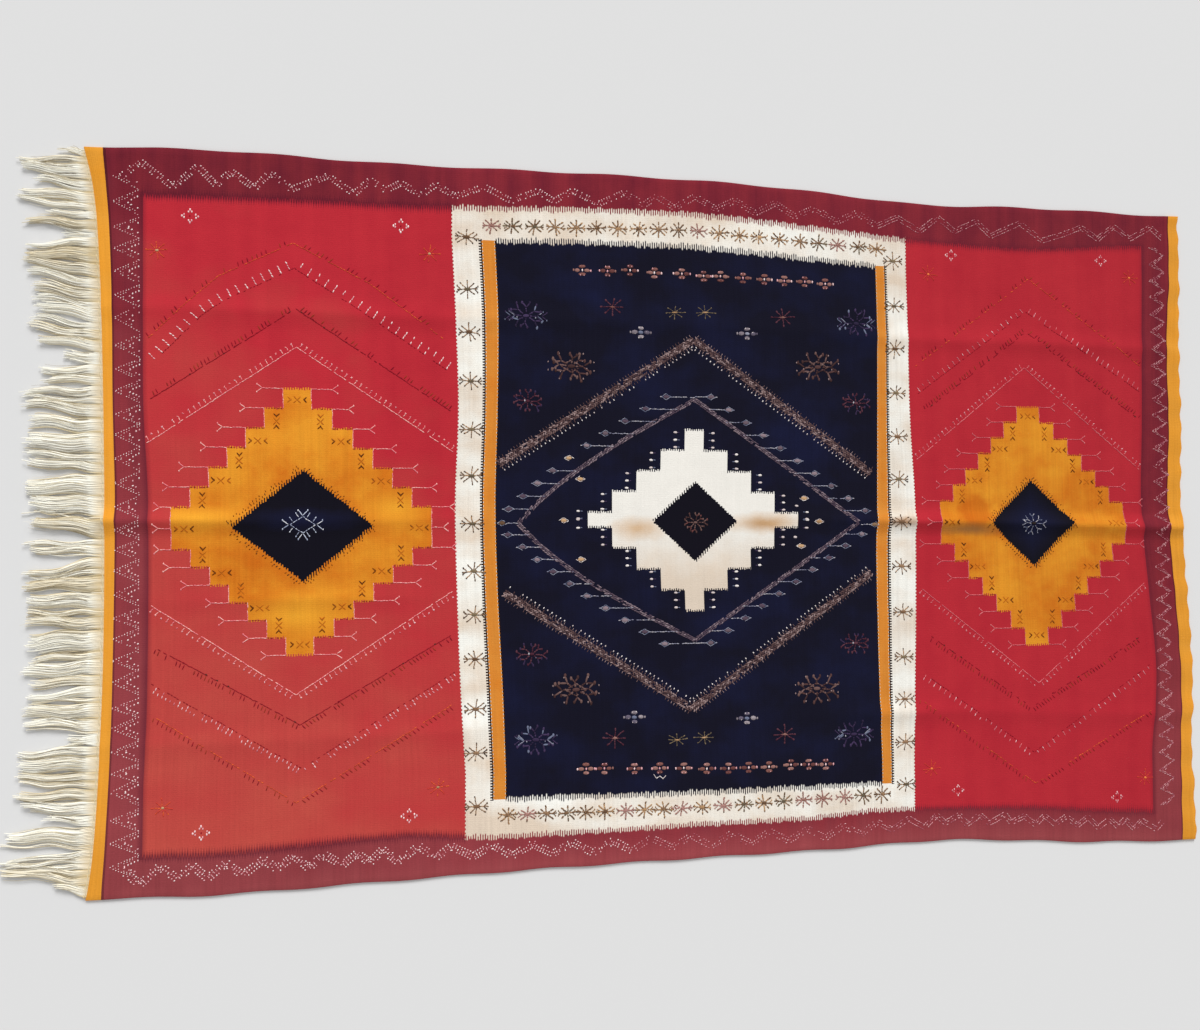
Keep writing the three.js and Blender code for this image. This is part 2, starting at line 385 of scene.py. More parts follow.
def chance(tree, number):
    """A random value from -1 to 1, the same wherever number is the same."""
    node = tree.nodes.new("ShaderNodeTexWhiteNoise")
    node.noise_dimensions = "1D"
    tree.links.new(number.socket, node.inputs["W"])
    return Number(tree, node.outputs["Value"]) * 2 - 1


def dye(red, green, blue):
    """A colour seen as 0 to 255 on a screen, as the shader's own numbers."""
    def level(value):
        value /= 255
        return value / 12.92 if value <= 0.04045 else ((value + 0.055) / 1.055) ** 2.4
    return level(red), level(green), level(blue), 1.0


def dyes(*colours):
    """Several dyes, one of which each yarn of a motif takes."""
    return tuple(dye(*colour) for colour in colours)


def put_colour(tree, colour, inlet):
    """Sends a plain or a worked-out colour to a node."""
    if isinstance(colour, tuple):
        inlet.default_value = colour
    else:
        tree.links.new(colour, inlet)


def laid(tree, share, under, over):
    """The colour under, covered by the colour over as far as share says."""
    node = tree.nodes.new("ShaderNodeMix")
    node.data_type = "RGBA"
    tree.links.new(share.socket, node.inputs[0])
    put_colour(tree, under, node.inputs[6])
    put_colour(tree, over, node.inputs[7])
    return node.outputs[2]


def dimmed(tree, colour, by):
    """A colour made brighter or darker by the number by."""
    node = tree.nodes.new("ShaderNodeVectorMath")
    node.operation = "SCALE"
    tree.links.new(colour, node.inputs[0])
    tree.links.new(by.socket, node.inputs["Scale"])
    return node.outputs[0]


def read_value(tree, name):
    """A number or colour that the points of a mesh hold, under its name."""
    node = tree.nodes.new("ShaderNodeAttribute")
    node.attribute_name = name
    return node


def new_finish(name, roughness):
    """A material with its node tree emptied down to one Principled shader."""
    finish = bpy.data.materials.new(name)
    finish.use_nodes = True
    shader = finish.node_tree.nodes["Principled BSDF"]
    shader.inputs["Roughness"].default_value = roughness
    shader.inputs["Specular IOR Level"].default_value = 0.08
    return finish, finish.node_tree, shader


def raise_bump(tree, shader, height, distance):
    """Roughens a finish by a height between 0 and 1, in units of distance."""
    node = tree.nodes.new("ShaderNodeBump")
    node.inputs["Distance"].default_value = distance
    tree.links.new(height.socket, node.inputs["Height"])
    tree.links.new(node.outputs["Normal"], shader.inputs["Normal"])


# Dyes of the woven cloth
RED = dye(196, 47, 58)
RED_SHADE = dye(170, 34, 48)
# paler red, laid on as painted sheen towards the lower left
SHEEN_RED = dye(192, 78, 68)
BURGUNDY = dye(138, 42, 53)
PLUM = dye(88, 22, 42)
# paler burgundy: painted sheen towards the lower left, and the worn lower side and far end
SHEEN_AND_WORN_BURGUNDY = dye(158, 72, 76)
NAVY = dye(19, 18, 34)
NAVY_BLUE = dye(23, 27, 60)
NIGHT = dye(17, 15, 26)
OCHRE = dye(232, 152, 42)
OCHRE_SHADE = dye(208, 114, 26)
# yellow laid on as painted highlight along the folds
HIGHLIGHT_OCHRE = dye(246, 178, 52)
BAND_YELLOW = dye(238, 162, 56)
STRIPE_YELLOW = dye(222, 144, 58)
UNDYED = dye(250, 248, 240)
UNDYED_SHADE = dye(226, 208, 188)
PALE_WOOL = dye(242, 238, 230)
BEIGE_WOOL = dye(220, 202, 182)
TAN_STAIN = dye(214, 178, 138)
# brown: staining on the middle medallion, and painted shade along the crease
BROWN_STAIN_AND_CREASE_SHADE = dye(162, 112, 62)
# darker orange: a patch on the far medallion, and painted shade round the dark diamonds
PATCH_AND_SHADE_ORANGE = dye(198, 98, 20)
EDGE_BROWN = dye(38, 20, 18)

# Stepped medallions, in the even design: middle, half size of the middle block, size of one
# step on each side (minus x, plus x, minus y, plus y) and how many steps
MEDALLIONS = {
    "fringed": dict(at=(-841, -9), block=(28, 43), steps=(37.4, 41.3, 36.7, 40.5), count=6),
    "middle": dict(at=(1.5, 3), block=(21.5, 16), steps=(53.3, 55, 45.5, 45), count=4),
    "far": dict(at=(815, 0), block=(29.5, 50), steps=(34.5, 37, 39, 38), count=6),
}
# The dark diamonds on them: middle and half sizes
DIAMONDS = {
    "fringed": dict(at=(-834, -4), half=(145, 116)),
    "middle": dict(at=(3.5, -1), half=(96, 87)),
    "far": dict(at=(816, 0), half=(112, 102)),
}


def stepped_mask(u, v, at, block, steps, count):
    """1 inside a stepped medallion."""
    across = u - at[0]
    up = v - at[1]
    columns = ((-across - block[0]) / steps[0]).ceil().most(((across - block[0]) / steps[1]).ceil()).most(0)
    rows = ((-up - block[1]) / steps[2]).ceil().most(((up - block[1]) / steps[3]).ceil()).most(0)
    return (columns + rows).below(count + 0.5)


def diamond_reach(u, v, at, half):
    """0 in the middle of a diamond and 1 along its edge."""
    return (u - at[0]).size() / half[0] + (v - at[1]).size() / half[1]


def spot(tree, u, v, at, half, ragged):
    """A soft oval share, 1 in its middle, with a ragged rim, for stains and patches and for painted
    highlights, sheen and shade.
    """
    across, up = (u - at[0]) / half[0], (v - at[1]) / half[1]
    return ((across * across + up * up).using("SQRT") * -1 + ragged * 0.25 + 1.1).held()


def medallion_grounds(tree, u, v, mottle, ochre):
    """The ground colour of each medallion, with its stains and a darker patch, painted highlights along the
    folds, painted shade round the dark diamond and painted shade along the crease.
    """
    def oval_share(at, half):
        return spot(tree, u, v, at, half, mottle)

    white = laid(tree, ((v + 14) / -110 + mottle * 0.3).held() * 0.9, PALE_WOOL, BEIGE_WOOL)
    white = laid(tree, oval_share((-122, -16), (66, 30)) * 0.9, white, TAN_STAIN)
    white = laid(tree, oval_share((168, -4), (104, 26)), white, TAN_STAIN)
    white = laid(tree, oval_share((160, -6), (52, 16)) * 0.35, white, BROWN_STAIN_AND_CREASE_SHADE)
    # painted highlights: brighter yellow along the fold crests
    painted_highlights = oval_share((-1045, 14), (120, 24)).most(oval_share((-640, 34), (70, 40)))
    painted_highlights = painted_highlights.most(oval_share((-850, -190), (120, 46)))
    highlighted_and_shaded = laid(tree, painted_highlights * 0.6, ochre, HIGHLIGHT_OCHRE)
    # painted shade below and left of the dark diamond
    highlighted_and_shaded = laid(tree, oval_share((-935, -70), (110, 60)) * 0.4, highlighted_and_shaded, PATCH_AND_SHADE_ORANGE)
    patched_and_crease_shaded = laid(tree, (oval_share((672, 26), (52, 44)) * 2).held() * 0.7, ochre, PATCH_AND_SHADE_ORANGE)
    # painted shade along the crease, below the fold's crest
    patched_and_crease_shaded = laid(tree, oval_share((650, -16), (130, 16)) * 0.8, patched_and_crease_shaded, BROWN_STAIN_AND_CREASE_SHADE)
    return ("fringed", highlighted_and_shaded), ("middle", white), ("far", patched_and_crease_shaded)


WEFT = 2.1           # bead of one weft along the rug
WARP = 4.0           # rib of one warp across it
TOOTH = 2.5          # one weft's run past a colour's edge, and past the next one's
OUTLINE = 3          # width of the dark lines beside the stripes
TICK_PITCH = 5.9     # pitch and reach of the dark ticks outside the outer lines
TICK_REACH = 4


def cloth_finish():
    """The flat weave, with every colour of the design laid in it by its place."""
    finish, tree, shader = new_finish("flat woven wool", 0.92)
    source = tree.nodes.new("ShaderNodeUVMap")
    source.uv_map = "design"
    split = tree.nodes.new("ShaderNodeSeparateXYZ")
    tree.links.new(source.outputs["UV"], split.inputs[0])
    u = Number(tree, split.outputs["X"]) * 1000
    v = Number(tree, split.outputs["Y"]) * 1000

    tooth_row = (u / TOOTH).floor()
    comb = (u / (2 * TOOTH)).using("FRACT").above(0.5) * 2 - 1
    warp = (v / WARP).floor()
    slow = cloudy(tree, vector_of(tree, u / 25, 0.0, 13.0), 2, 0.5)

    def tooth(seed, reach):
        """How far each weft runs over a colour's edge: every other one further, like a comb."""
        return (comb * (chance(tree, tooth_row + seed) * 0.35 + 0.6) + slow * 0.3) * reach

    warp_turn = (warp / 2 - (warp / 2).floor()) * 4 - 1
    u_crisp = u + warp_turn * 0.9
    v_soft = v + tooth(100, 5)
    v_white = v + tooth(200, 8.5)
    v_step = v + tooth(300, 3.5)
    v_ragged = v + tooth(400, 5)

    streak = cloudy(tree, vector_of(tree, u / 5, v / 300), 3, 0.6)
    broad_streak = cloudy(tree, vector_of(tree, u / 45, v / 900, 5.0), 2, 0.5)
    mottle = cloudy(tree, vector_of(tree, u / 45, v / 45, 2.0), 3, 0.6)
    large_mottle = cloudy(tree, vector_of(tree, u / 170, v / 130, 7.0), 2, 0.5)
    fibre = cloudy(tree, vector_of(tree, u / 2.2, v / 3.2, 1.0), 2, 0.6)
    frame_patches = cloudy(tree, vector_of(tree, u / 190, v / 62, 11.0), 1, 0.4)

    # painted sheen: red and burgundy paler towards the lower left, standing in for the haze of light off the
    # wool
    painted_sheen = (v / -1360 - u / 1600 - 0.2 + large_mottle * 0.32 + mottle * 0.1).held()
    red_shading = streak * 0.3 + broad_streak * 0.3 + mottle * 0.25 + large_mottle * 0.25 + 0.4
    red = laid(tree, red_shading.held(), RED, RED_SHADE)
    red = laid(tree, painted_sheen, red, SHEEN_RED)
    burgundy = laid(tree, (broad_streak * 0.5 + mottle * 0.25 + 0.25).held(), BURGUNDY, PLUM)
    worn_side = ((-v - 640) / 110 + broad_streak * 0.2).held()
    worn_end = ((u - 1110) / 20).held() * ((v + 150) / -400).held()
    burgundy = laid(tree, (painted_sheen * 0.8).most(worn_side).most(worn_end * 0.6), burgundy, SHEEN_AND_WORN_BURGUNDY)
    navy = laid(tree, (large_mottle * 0.6 + mottle * 0.2 + 0.15).held(), NAVY, NAVY_BLUE)
    ochre = laid(tree, (mottle * 0.5 + large_mottle * 0.9 + 0.45).held(), OCHRE, OCHRE_SHADE)
    # beige over the undyed frame in patches, more on its long rows towards the fringed end
    beige_share = frame_patches * 0.7 + mottle * 0.4 + ((v.size() - 600) / 60).held() * (u / -1200 + 0.3) + 0.4
    undyed = laid(tree, beige_share.held(), UNDYED, UNDYED_SHADE)
    # painted shade at the crease where it crosses the frame
    undyed = laid(tree, spot(tree, u, v, (486, 1), (50, 13), mottle) * 0.8, undyed, BROWN_STAIN_AND_CREASE_SHADE)
    band = laid(tree, (mottle * 0.5 + 0.3).held(), BAND_YELLOW, OCHRE)
    stripe = laid(tree, (mottle * 0.4 + 0.3).held(), STRIPE_YELLOW, OCHRE_SHADE)

    both_panels = (u.between(PANEL_START, -FRAME_REACH) + u.between(FRAME_REACH, PANEL_END)).held()
    in_panels = v_soft.softly_between(PANEL_LOW, PANEL_HIGH, 3) * both_panels
    in_frame = v_white.softly_between(PANEL_LOW, PANEL_HIGH, 3) * u_crisp.between(-FRAME_REACH, FRAME_REACH)
    stripes = u_crisp.between(STRIPE_START, -FIELD_REACH) + u_crisp.between(FIELD_REACH, STRIPE_END)
    in_stripes = v.between(FIELD_LOW, FIELD_HIGH) * stripes.held()
    line_start, line_end = STRIPE_START - OUTLINE, STRIPE_END + OUTLINE
    ticked = (v / TICK_PITCH).using("FRACT").above(0.45)
    ticks = u.between(line_start - TICK_REACH, line_start) + u.between(line_end, line_end + TICK_REACH)
    ticks = ticks * ticked
    outer_lines = u.between(line_start, STRIPE_START) + u.between(STRIPE_END, line_end) + ticks
    inner_lines = u.between(-FIELD_REACH, OUTLINE - FIELD_REACH)
    inner_lines = inner_lines + u.between(FIELD_REACH - OUTLINE, FIELD_REACH)
    in_outlines = outer_lines.held() * v.between(FIELD_LOW - 2, FIELD_HIGH + 2)
    in_inner_lines = v.between(FIELD_LOW, FIELD_HIGH) * inner_lines.held()
    in_field = v_white.softly_between(FIELD_LOW, FIELD_HIGH, 3) * u.between(-FIELD_REACH, FIELD_REACH)
    in_bands = u.below(BAND_START).most(u.above(BAND_END))
    in_band_lines = u.between(BAND_START, BAND_START + 3.5).most(u.between(BAND_END - 3, BAND_END))

    long_edge = (v_soft - PANEL_HIGH).size().least((v_soft - PANEL_LOW).size())
    long_edge = (long_edge / -12 + 1).held() * u.between(PANEL_START - 6, PANEL_END + 6)
    end_edge = (u - (PANEL_START - 2)).size().least((u - (PANEL_END + 2)).size())
    end_edge = (end_edge / -11 + 1).held() * v.between(PANEL_LOW - 6, PANEL_HIGH + 6)
    near_edge = (long_edge * u.size().above(FRAME_REACH)).most(end_edge * 0.75)

    colour = laid(tree, in_panels, burgundy, red)
    colour = laid(tree, near_edge * (u.below(0) * 0.28 + 0.42), colour, PLUM)
    colour = laid(tree, in_frame, colour, undyed)
    colour = laid(tree, in_field, colour, navy)
    colour = laid(tree, in_outlines.most(in_inner_lines), colour, EDGE_BROWN)
    colour = laid(tree, in_stripes, colour, stripe)
    colour = laid(tree, in_bands, colour, band)
    colour = laid(tree, in_band_lines * 0.45, colour, EDGE_BROWN)

    for name, ground in medallion_grounds(tree, u, v, mottle, ochre):
        colour = laid(tree, stepped_mask(u, v_step, **MEDALLIONS[name]), colour, ground)
        around = diamond_reach(u, v, **DIAMONDS[name])
        if name != "middle":
            # painted shade: darker orange round the dark diamonds, more towards their lower side
            painted_diamond_shade = ((around * -1 + 1.4) * 1.6).held() * (mottle * 0.4 + (v / -300) + 0.35).held()
            colour = laid(tree, painted_diamond_shade, colour, PATCH_AND_SHADE_ORANGE)
        across = v_step if name == "middle" else v_ragged
        edged = diamond_reach((u / 5).floor() * 5, across, **DIAMONDS[name])
        # painted sheen: the far diamond bluer towards its middle
        heart = (around * -1.1 + 1).held() * 0.85
        dark = laid(tree, heart, NIGHT, NAVY_BLUE) if name == "far" else NIGHT
        colour = laid(tree, edged.below(1), colour, dark)

    in_diamond = diamond_reach(u, v, **DIAMONDS["fringed"]).below(0.95)
    sheen_band = spot(tree, u, v, (-829, 10), (120, 26), mottle) * in_diamond
    colour = laid(tree, sheen_band * 0.6, colour, NAVY_BLUE)

    far_left = (u / -300 - 1.7).held()
    bright_corner = far_left * (v / 300).held() * in_panels
    dim_corners = far_left * ((v.size() - 600) / 60).held() * in_panels.outside()
    streaky = stepped_mask(u, v, **MEDALLIONS["middle"]) * -0.07 + 0.1
    tone = streak * streaky + broad_streak * 0.03 + fibre * 0.06 + mottle * 0.03 + large_mottle * 0.03
    tone = tone + 1 - (u / 1200).held() * 0.1 + bright_corner * 0.055 - dim_corners * 0.1
    put_colour(tree, dimmed(tree, colour, tone), shader.inputs["Base Color"])
    shader.inputs["Sheen Weight"].default_value = 0.02
    shader.inputs["Sheen Roughness"].default_value = 0.5

    rib = (v * (math.pi / WARP)).using("SINE").size()
    bead = (u * (math.pi / WEFT)).using("SINE").size()
    height = rib * 0.08 + bead * 0.3 + fibre * 0.25 + mottle * 0.3 + streak * 0.2
    raise_bump(tree, shader, height, 0.7 * MM)
    return finish


# Fringe

# Clumps from the plus-y corner: where its roots end along the heading, where its tips begin
# and end, how far the tips lie past the nominal end, and how pale the yarn is
FRINGE_START = 744
CLUMPS = (
    (731, 747, 735, 93, 0.3), (688, 722, 689, 168, 0.2), (664, 684, 667, 135, 0.9),
    (621, 662, 630, 171, 0.5), (603, 621, 608, 119, 0.9), (577, 601, 587, 161, 0.3),
    (567, 576, 562, 100, 1.0), (486, 549, 507, 156, 0.2), (464, 503, 485, 145, 1.0),
    (363, 478, 374, 146, 0.6), (339, 368, 346, 144, 0.4), (315, 335, 315, 78, 0.9),
    (273, 301, 271, 136, 0.4), (209, 263, 220, 154, 0.4), (181, 213, 178, 149, 1.0),
    (99, 172, 104, 152, 0.4), (11, 79, 12, 151, 0.4), (-31, 5, -17, 150, 0.5),
    (-66, -43, -70, 149, 0.4), (-140, -101, -139, 146, 0.3), (-213, -145, -211, 147, 0.5),
    (-326, -221, -334, 145, 0.6), (-359, -341, -360, 142, 0.5), (-422, -366, -411, 149, 0.4),
    (-448, -424, -445, 70, 1.0), (-534, -450, -523, 152, 0.6), (-587, -534, -572, 154, 0.5),
    (-605, -582, -598, 108, 0.9), (-644, -607, -634, 187, 0.5), (-718, -663, -696, 187, 0.4),
    (-743, -707, -725, 92, 0.6),
)
YARN_PITCH = 2.4        # between the roots of two warp ends
YARN_RADIUS = 1.35
STRAY_RADIUS = 0.42
YARN_STEPS = 16         # lengths of tube that a warp end is made of
YARN_SIDES = 6
STRAY_SIDES = 3


def smoothstep(t):
    """An even start and end for something that goes from 0 to 1 with t."""
    t = min(1.0, max(0.0, t))
    return t * t * (3 - 2 * t)


def yarn_path(chances, root_v, tip_y, past, layer, bend):
    """Points of one loose warp end from the heading to its tip, level on the floor."""
    edge = Vector((*place(-HALF_LENGTH, root_v), 0))
    root_lift = lift(edge.x, edge.y) + 1.5
    start_x, end_x = edge.x + 1, -HALF_LENGTH - past + chances.uniform(-4, 9)
    sway_start, sway_size = chances.uniform(0, 6.3), chances.uniform(0.1, 1.1)
    points = []
    for step in range(YARN_STEPS + 1):
        share = step / YARN_STEPS
        x = start_x + (end_x - start_x) * share
        out = start_x - x
        loose = smoothstep(out / LOCK_DROP)
        shared_sway = 3.2 * math.sin(2 * math.pi * x / 120 + bend)
        y = edge.y + (tip_y - edge.y) * smoothstep(share)
        y += loose * (shared_sway + sway_size * math.sin(x / 13 + sway_start))
        y += loose * 1.8 * noise.noise(Vector((x / 40, root_v / 20, 4)))
        z = YARN_RADIUS * 1.2 + root_lift * (1 - loose) + layer * loose * YARN_RADIUS
        points.append(Vector((x, y, z)) * MM)
    return points


def thread_tubes(name, paths, radii, tones, sides):
    """One mesh of tubes along the paths, each thinning towards its tip."""
    points, edges, thickness, tone, rooted = [], [], [], [], []
    for path, radius, shade in zip(paths, radii, tones):
        first = len(points)
        points += path
        edges += [(first + i, first + i + 1) for i in range(len(path) - 1)]
        thickness += [radius * MM * (1 - 0.5 * (i / (len(path) - 1)) ** 4) for i in range(len(path))]
        tone += [shade] * len(path)
        rooted += [max(0.0, 1 - i / 3) for i in range(len(path))]
    piece = new_piece(name, points, edges, thickness=thickness, tone=tone, rooted=rooted)
    make, link, incoming = new_nodes(piece)
    lines = make("GeometryNodeMeshToCurve")
    link(incoming, lines.inputs["Mesh"])
    circle = make("GeometryNodeCurvePrimitiveCircle")
    circle.inputs["Resolution"].default_value = sides
    circle.inputs["Radius"].default_value = 1
    tube = make("GeometryNodeCurveToMesh")
    tube.inputs["Fill Caps"].default_value = True
    read = make("GeometryNodeInputNamedAttribute")
    read.inputs["Name"].default_value = "thickness"
    link(read.outputs["Attribute"], tube.inputs["Scale"])
    link(lines.outputs[0], tube.inputs["Curve"])
    link(circle.outputs[0], tube.inputs["Profile Curve"])
    link(tube.outputs[0], make("NodeGroupOutput").inputs[0])
    apply_modifiers(piece)
    bpy.ops.object.shade_smooth()
    return piece


def hang_fringe():
    """Every loose warp end, gathered in strands, and the finer fibres that stray from them."""
    chances = random.Random(11)
    yarns, strays = [], []
    start = FRINGE_START
    for root_end, tip_start, tip_end, past, pale in CLUMPS:
        count = max(2, round((start - root_end) / YARN_PITCH))
        first = 0
        while first < count:
            strand = min(count - first, chances.randint(5, 18))
            bend, strand_tone = chances.uniform(0, 6.3), pale + chances.choice((-0.3, 0.1, 0.5))
            strand_reach = past - chances.random() ** 2 * 18
            gather, aside = chances.uniform(0.84, 1.08), chances.uniform(-2.5, 2.5)
            middle = (first + strand / 2) / count
            for i in range(first, first + strand):
                share = (i + 0.5) / count
                from_middle = (i + 0.5 - first) / strand * 2 - 1
                layer = (1 - from_middle ** 2) * (1.2 + strand * 0.2) + 0.6 * (i % 2)
                root = start + (root_end - start) * share
                tip = tip_start + (tip_end - tip_start) * (middle + (share - middle) * gather) + aside
                reach = strand_reach - chances.random() ** 3 * 20 - 8 * abs(from_middle)
                # darker towards each strand's edges: painted shade between the strands
                tone = strand_tone + 0.42 - 1.5 * abs(from_middle) ** 6 + chances.uniform(-0.2, 0.2)
                path = yarn_path(chances, root, tip, reach, layer, bend)
                yarns.append((path, YARN_RADIUS * chances.uniform(0.85, 1.2), tone))
                stray_tip, stray_reach = tip + chances.uniform(-7, 7), reach * chances.uniform(0.7, 1.03)
                stray = yarn_path(chances, root, stray_tip, stray_reach, layer + 1, bend)
                strays.append((stray, STRAY_RADIUS, chances.uniform(-1.1, 0.9)))
            first += strand
        start = root_end
    warp_ends = thread_tubes("loose_warp_ends", *zip(*yarns), YARN_SIDES)
    return warp_ends, thread_tubes("stray_fibres", *zip(*strays), STRAY_SIDES)


HEADING_START, HEADING_END = -744, 736
HEADING_PLY = 0.9       # radius of each of its two plies
PLY_SWING = 1.1         # how far each ply swings from their shared middle line


def twine_heading():
    """The two-ply cord twined across the roots of the warps."""
    plies = []
    for turn in (0, math.pi):
        path = []
        for v in range(HEADING_START, HEADING_END + 1, 2):
            x, y = place(-HALF_LENGTH, v)
            x, twist = x - HEADING_GAP - 2.4, v / 5 + turn
            z = lift(x, y) + 3.6 + PLY_SWING * math.sin(twist)
            path.append(Vector((x + PLY_SWING * math.cos(twist), y, z)) * MM)
        plies.append(path)
    return thread_tubes("twined_heading", plies, (HEADING_PLY, HEADING_PLY), (-0.05, 0.1), YARN_SIDES)


def yarn_finish():
    """Undyed wool, paler or greyer by its tone, which also holds painted shade at each strand's edges, and
    yellowish at its root.
    """
    finish, tree, shader = new_finish("undyed warp yarn", 0.9)
    tone = Number(tree, read_value(tree, "tone").outputs["Fac"])
    where = tree.nodes.new("ShaderNodeTexCoord")
    split = tree.nodes.new("ShaderNodeSeparateXYZ")
    tree.links.new(where.outputs["Object"], split.inputs[0])
    x = Number(tree, split.outputs["X"]) * 1000
    y = Number(tree, split.outputs["Y"]) * 1000
    dirt = cloudy(tree, vector_of(tree, x / 30, y / 9), 3, 0.6)
    fibre = cloudy(tree, vector_of(tree, x / 3, y / 0.8), 2, 0.6)
    rooted = Number(tree, read_value(tree, "rooted").outputs["Fac"])
    colour = laid(tree, (tone + dirt * 0.3).held(), dye(226, 211, 176), dye(254, 251, 238))
    colour = laid(tree, (-tone).held(), colour, dye(146, 132, 110))
    colour = laid(tree, rooted * 0.6, colour, dye(232, 196, 124))
    put_colour(tree, dimmed(tree, colour, fibre * 0.06 + 1), shader.inputs["Base Color"])
    twist = ((x + y * 2.2) * (2 * math.pi / 3.4)).using("SINE")
    raise_bump(tree, shader, twist * 0.5 + fibre * 0.5, 0.2 * MM)
    return finish


# Motifs

# Dyes of the motif yarns
ROSE_WHITES = dyes((250, 230, 228), (244, 208, 208), (230, 172, 178))
DUSTY_ROSES = dyes((226, 160, 168), (206, 122, 132), (240, 194, 198))
ROSES = dyes((244, 160, 160), (236, 134, 142), (250, 186, 180))
DIM_ROSES = dyes((200, 132, 140), (172, 96, 110), (218, 164, 168))
FAR_ROSES = dyes((222, 122, 128), (204, 100, 110))
BRIGHT_ORANGES = dyes((226, 104, 52), (216, 84, 50), (236, 130, 70))
FAINT_ORANGES = dyes((206, 76, 52), (198, 64, 54))
FADED_ROSES = dyes((172, 128, 120), (150, 108, 98))
DARK_REDS = dyes((150, 24, 42), (132, 20, 38))
RUSTS = dyes((158, 60, 40), (140, 44, 38), (190, 78, 48))
BLACKS = dyes((44, 36, 34), (66, 50, 40))
BROWNS = dyes((128, 98, 74), (152, 120, 92), (104, 78, 58))
DARK_BROWNS = dyes((84, 62, 48), (62, 46, 38), (104, 82, 62))
TANS = dyes((196, 158, 118), (176, 138, 100))
BRAID_BROWNS = dyes((98, 74, 73), (118, 94, 92), (158, 134, 132), (76, 56, 58))
STAR_BROWNS = dyes((86, 60, 58), (67, 46, 46), (110, 84, 80))
MAUVES = dyes((104, 88, 98), (86, 70, 84), (140, 122, 130))
COOL_WHITES = dyes((196, 204, 222), (222, 224, 232), (160, 168, 192))
PIN_WHITES = dyes((164, 164, 178), (190, 186, 194), (134, 134, 156))
BONE_WHITES = dyes((238, 230, 226), (214, 200, 198))
COPPERS = dyes((126, 82, 76), (150, 108, 101), (104, 63, 61))
PURPLES = dyes((56, 44, 72), (68, 54, 86), (44, 36, 60))
MAROONS = dyes((73, 38, 51), (91, 54, 65))
OLIVES = dyes((102, 90, 72), (128, 112, 88))
GREYS = dyes((148, 150, 166), (112, 118, 142), (184, 182, 190))
WARM_GREYS = dyes((128, 118, 126), (100, 92, 108), (152, 142, 148))
MARK_BROWNS = dyes((120, 62, 16), (96, 48, 18), (146, 82, 26))
TRACK_ORANGES = dyes((196, 112, 30), (184, 98, 26))


class Motifs:
    """Gathers the yarns of some motifs, each at (x, y) on the cloth in millimetres."""

    def __init__(self, seed):
        self.chances = random.Random(seed)
        self.yarns = []

    def yarn(self, x, y, turn, length, width, wools):
        """One short yarn, turned by degrees from the warps, in one of the wools."""
        drift = self.chances.uniform
        self.yarns.append((
            x + drift(-0.5, 0.5), y + drift(-0.5, 0.5), math.radians(turn + drift(-6, 6)),
            length * drift(0.85, 1.1), width * drift(0.88, 1.1), self.chances.choice(wools),
        ))

    def dot(self, x, y, wools, size=5.0):
        """A single knot."""
        self.yarn(x, y, 90, size, size * 0.72, wools)

    def follow(self, points, pitch, beside, lean, length, width, wools, gaps=0.0):
        """Yarns every pitch along a line, beside it to its left and turned by lean from it."""
        for (x0, y0), (x1, y1) in zip(points, points[1:]):
            span = math.hypot(x1 - x0, y1 - y0)
            way = math.degrees(math.atan2(y1 - y0, x1 - x0))
            count = max(1, round(span / pitch))
            for i in range(count):
                if self.chances.random() >= gaps:
                    share = (i + 0.5) / count
                    x = x0 + (x1 - x0) * share - (y1 - y0) / span * beside
                    y = y0 + (y1 - y0) * share + (x1 - x0) / span * beside
                    self.yarn(x, y, way + lean, length, width, wools)

    def line(self, start, end, width, wools, gaps=0.0):
        """A thin line of yarns laid end to end."""
        self.follow((start, end), 6, 0, 0, 7, width, wools, gaps)

    def fork(self, x, y, turn, size, width, wools):
        """A small Y that opens along turn, with a knot on each arm."""
        for arm in (-38, 38):
            way = math.radians(turn + arm)
            end = (x + math.cos(way) * size, y + math.sin(way) * size)
            self.follow(((x, y), end), size, 0, 0, size, width, wools)
            self.dot(*end, wools, width * 1.9)

    def star(self, x, y, half, width, arms, tips, heart, fork=0.0, knob=1.9):
        """Eight arms round a heart, reaching half along and across, forked or knobbed at their ends."""
        for k in range(8):
            way = math.radians(45 * k + self.chances.uniform(-9, 9))
            reach = (1 if k % 2 == 0 else 0.95) * self.chances.uniform(0.85, 1.1)
            out = (math.cos(way) * half[0] * reach, math.sin(way) * half[1] * reach)
            shaft = 1 - fork
            near, far = (x + out[0] * 0.22, y + out[1] * 0.22), (x + out[0] * shaft, y + out[1] * shaft)
            self.follow((near, far), 5, 0, 0, 6, width, arms)
            turn = math.degrees(math.atan2(out[1], out[0]))
            if fork:
                self.fork(*far, turn, math.hypot(*out) * fork, width, tips)
            else:
                self.yarn(*far, turn, width * knob, width * knob * 0.8, tips)
        self.yarn(x, y, 0, half[0] * 0.35, half[1] * 0.3, heart)

    def flower(self, x, y, size, petals, heart):
        """Four petals of three knots each round a heart."""
        knots = ((0.46, 0, 0.17), (0.33, 0.09, 0.15), (0.33, -0.09, 0.15))
        for side in (-1, 1):
            for out, aside, knot in knots:
                self.dot(x + side * size * out, y + size * aside, petals, size * knot)
            for out, aside, knot in ((0.38, 0, 0.17), (0.26, 0.09, 0.15), (0.26, -0.09, 0.15)):
                self.dot(x + size * aside, y + side * size * out, petals, size * knot)
        self.dot(x, y, heart, size * 0.13)

    def lozenge(self, x, y, fill, rim):
        """A filled diamond, lying along the rug, with a pale rim."""
        self.yarn(x, y, 0, 15, 9, fill)
        for side in (-1, 1):
            self.follow(((x - 11, y), (x, y + side * 6), (x + 11, y)), 7, 0, 0, 7, 1.8, rim, 0.15)


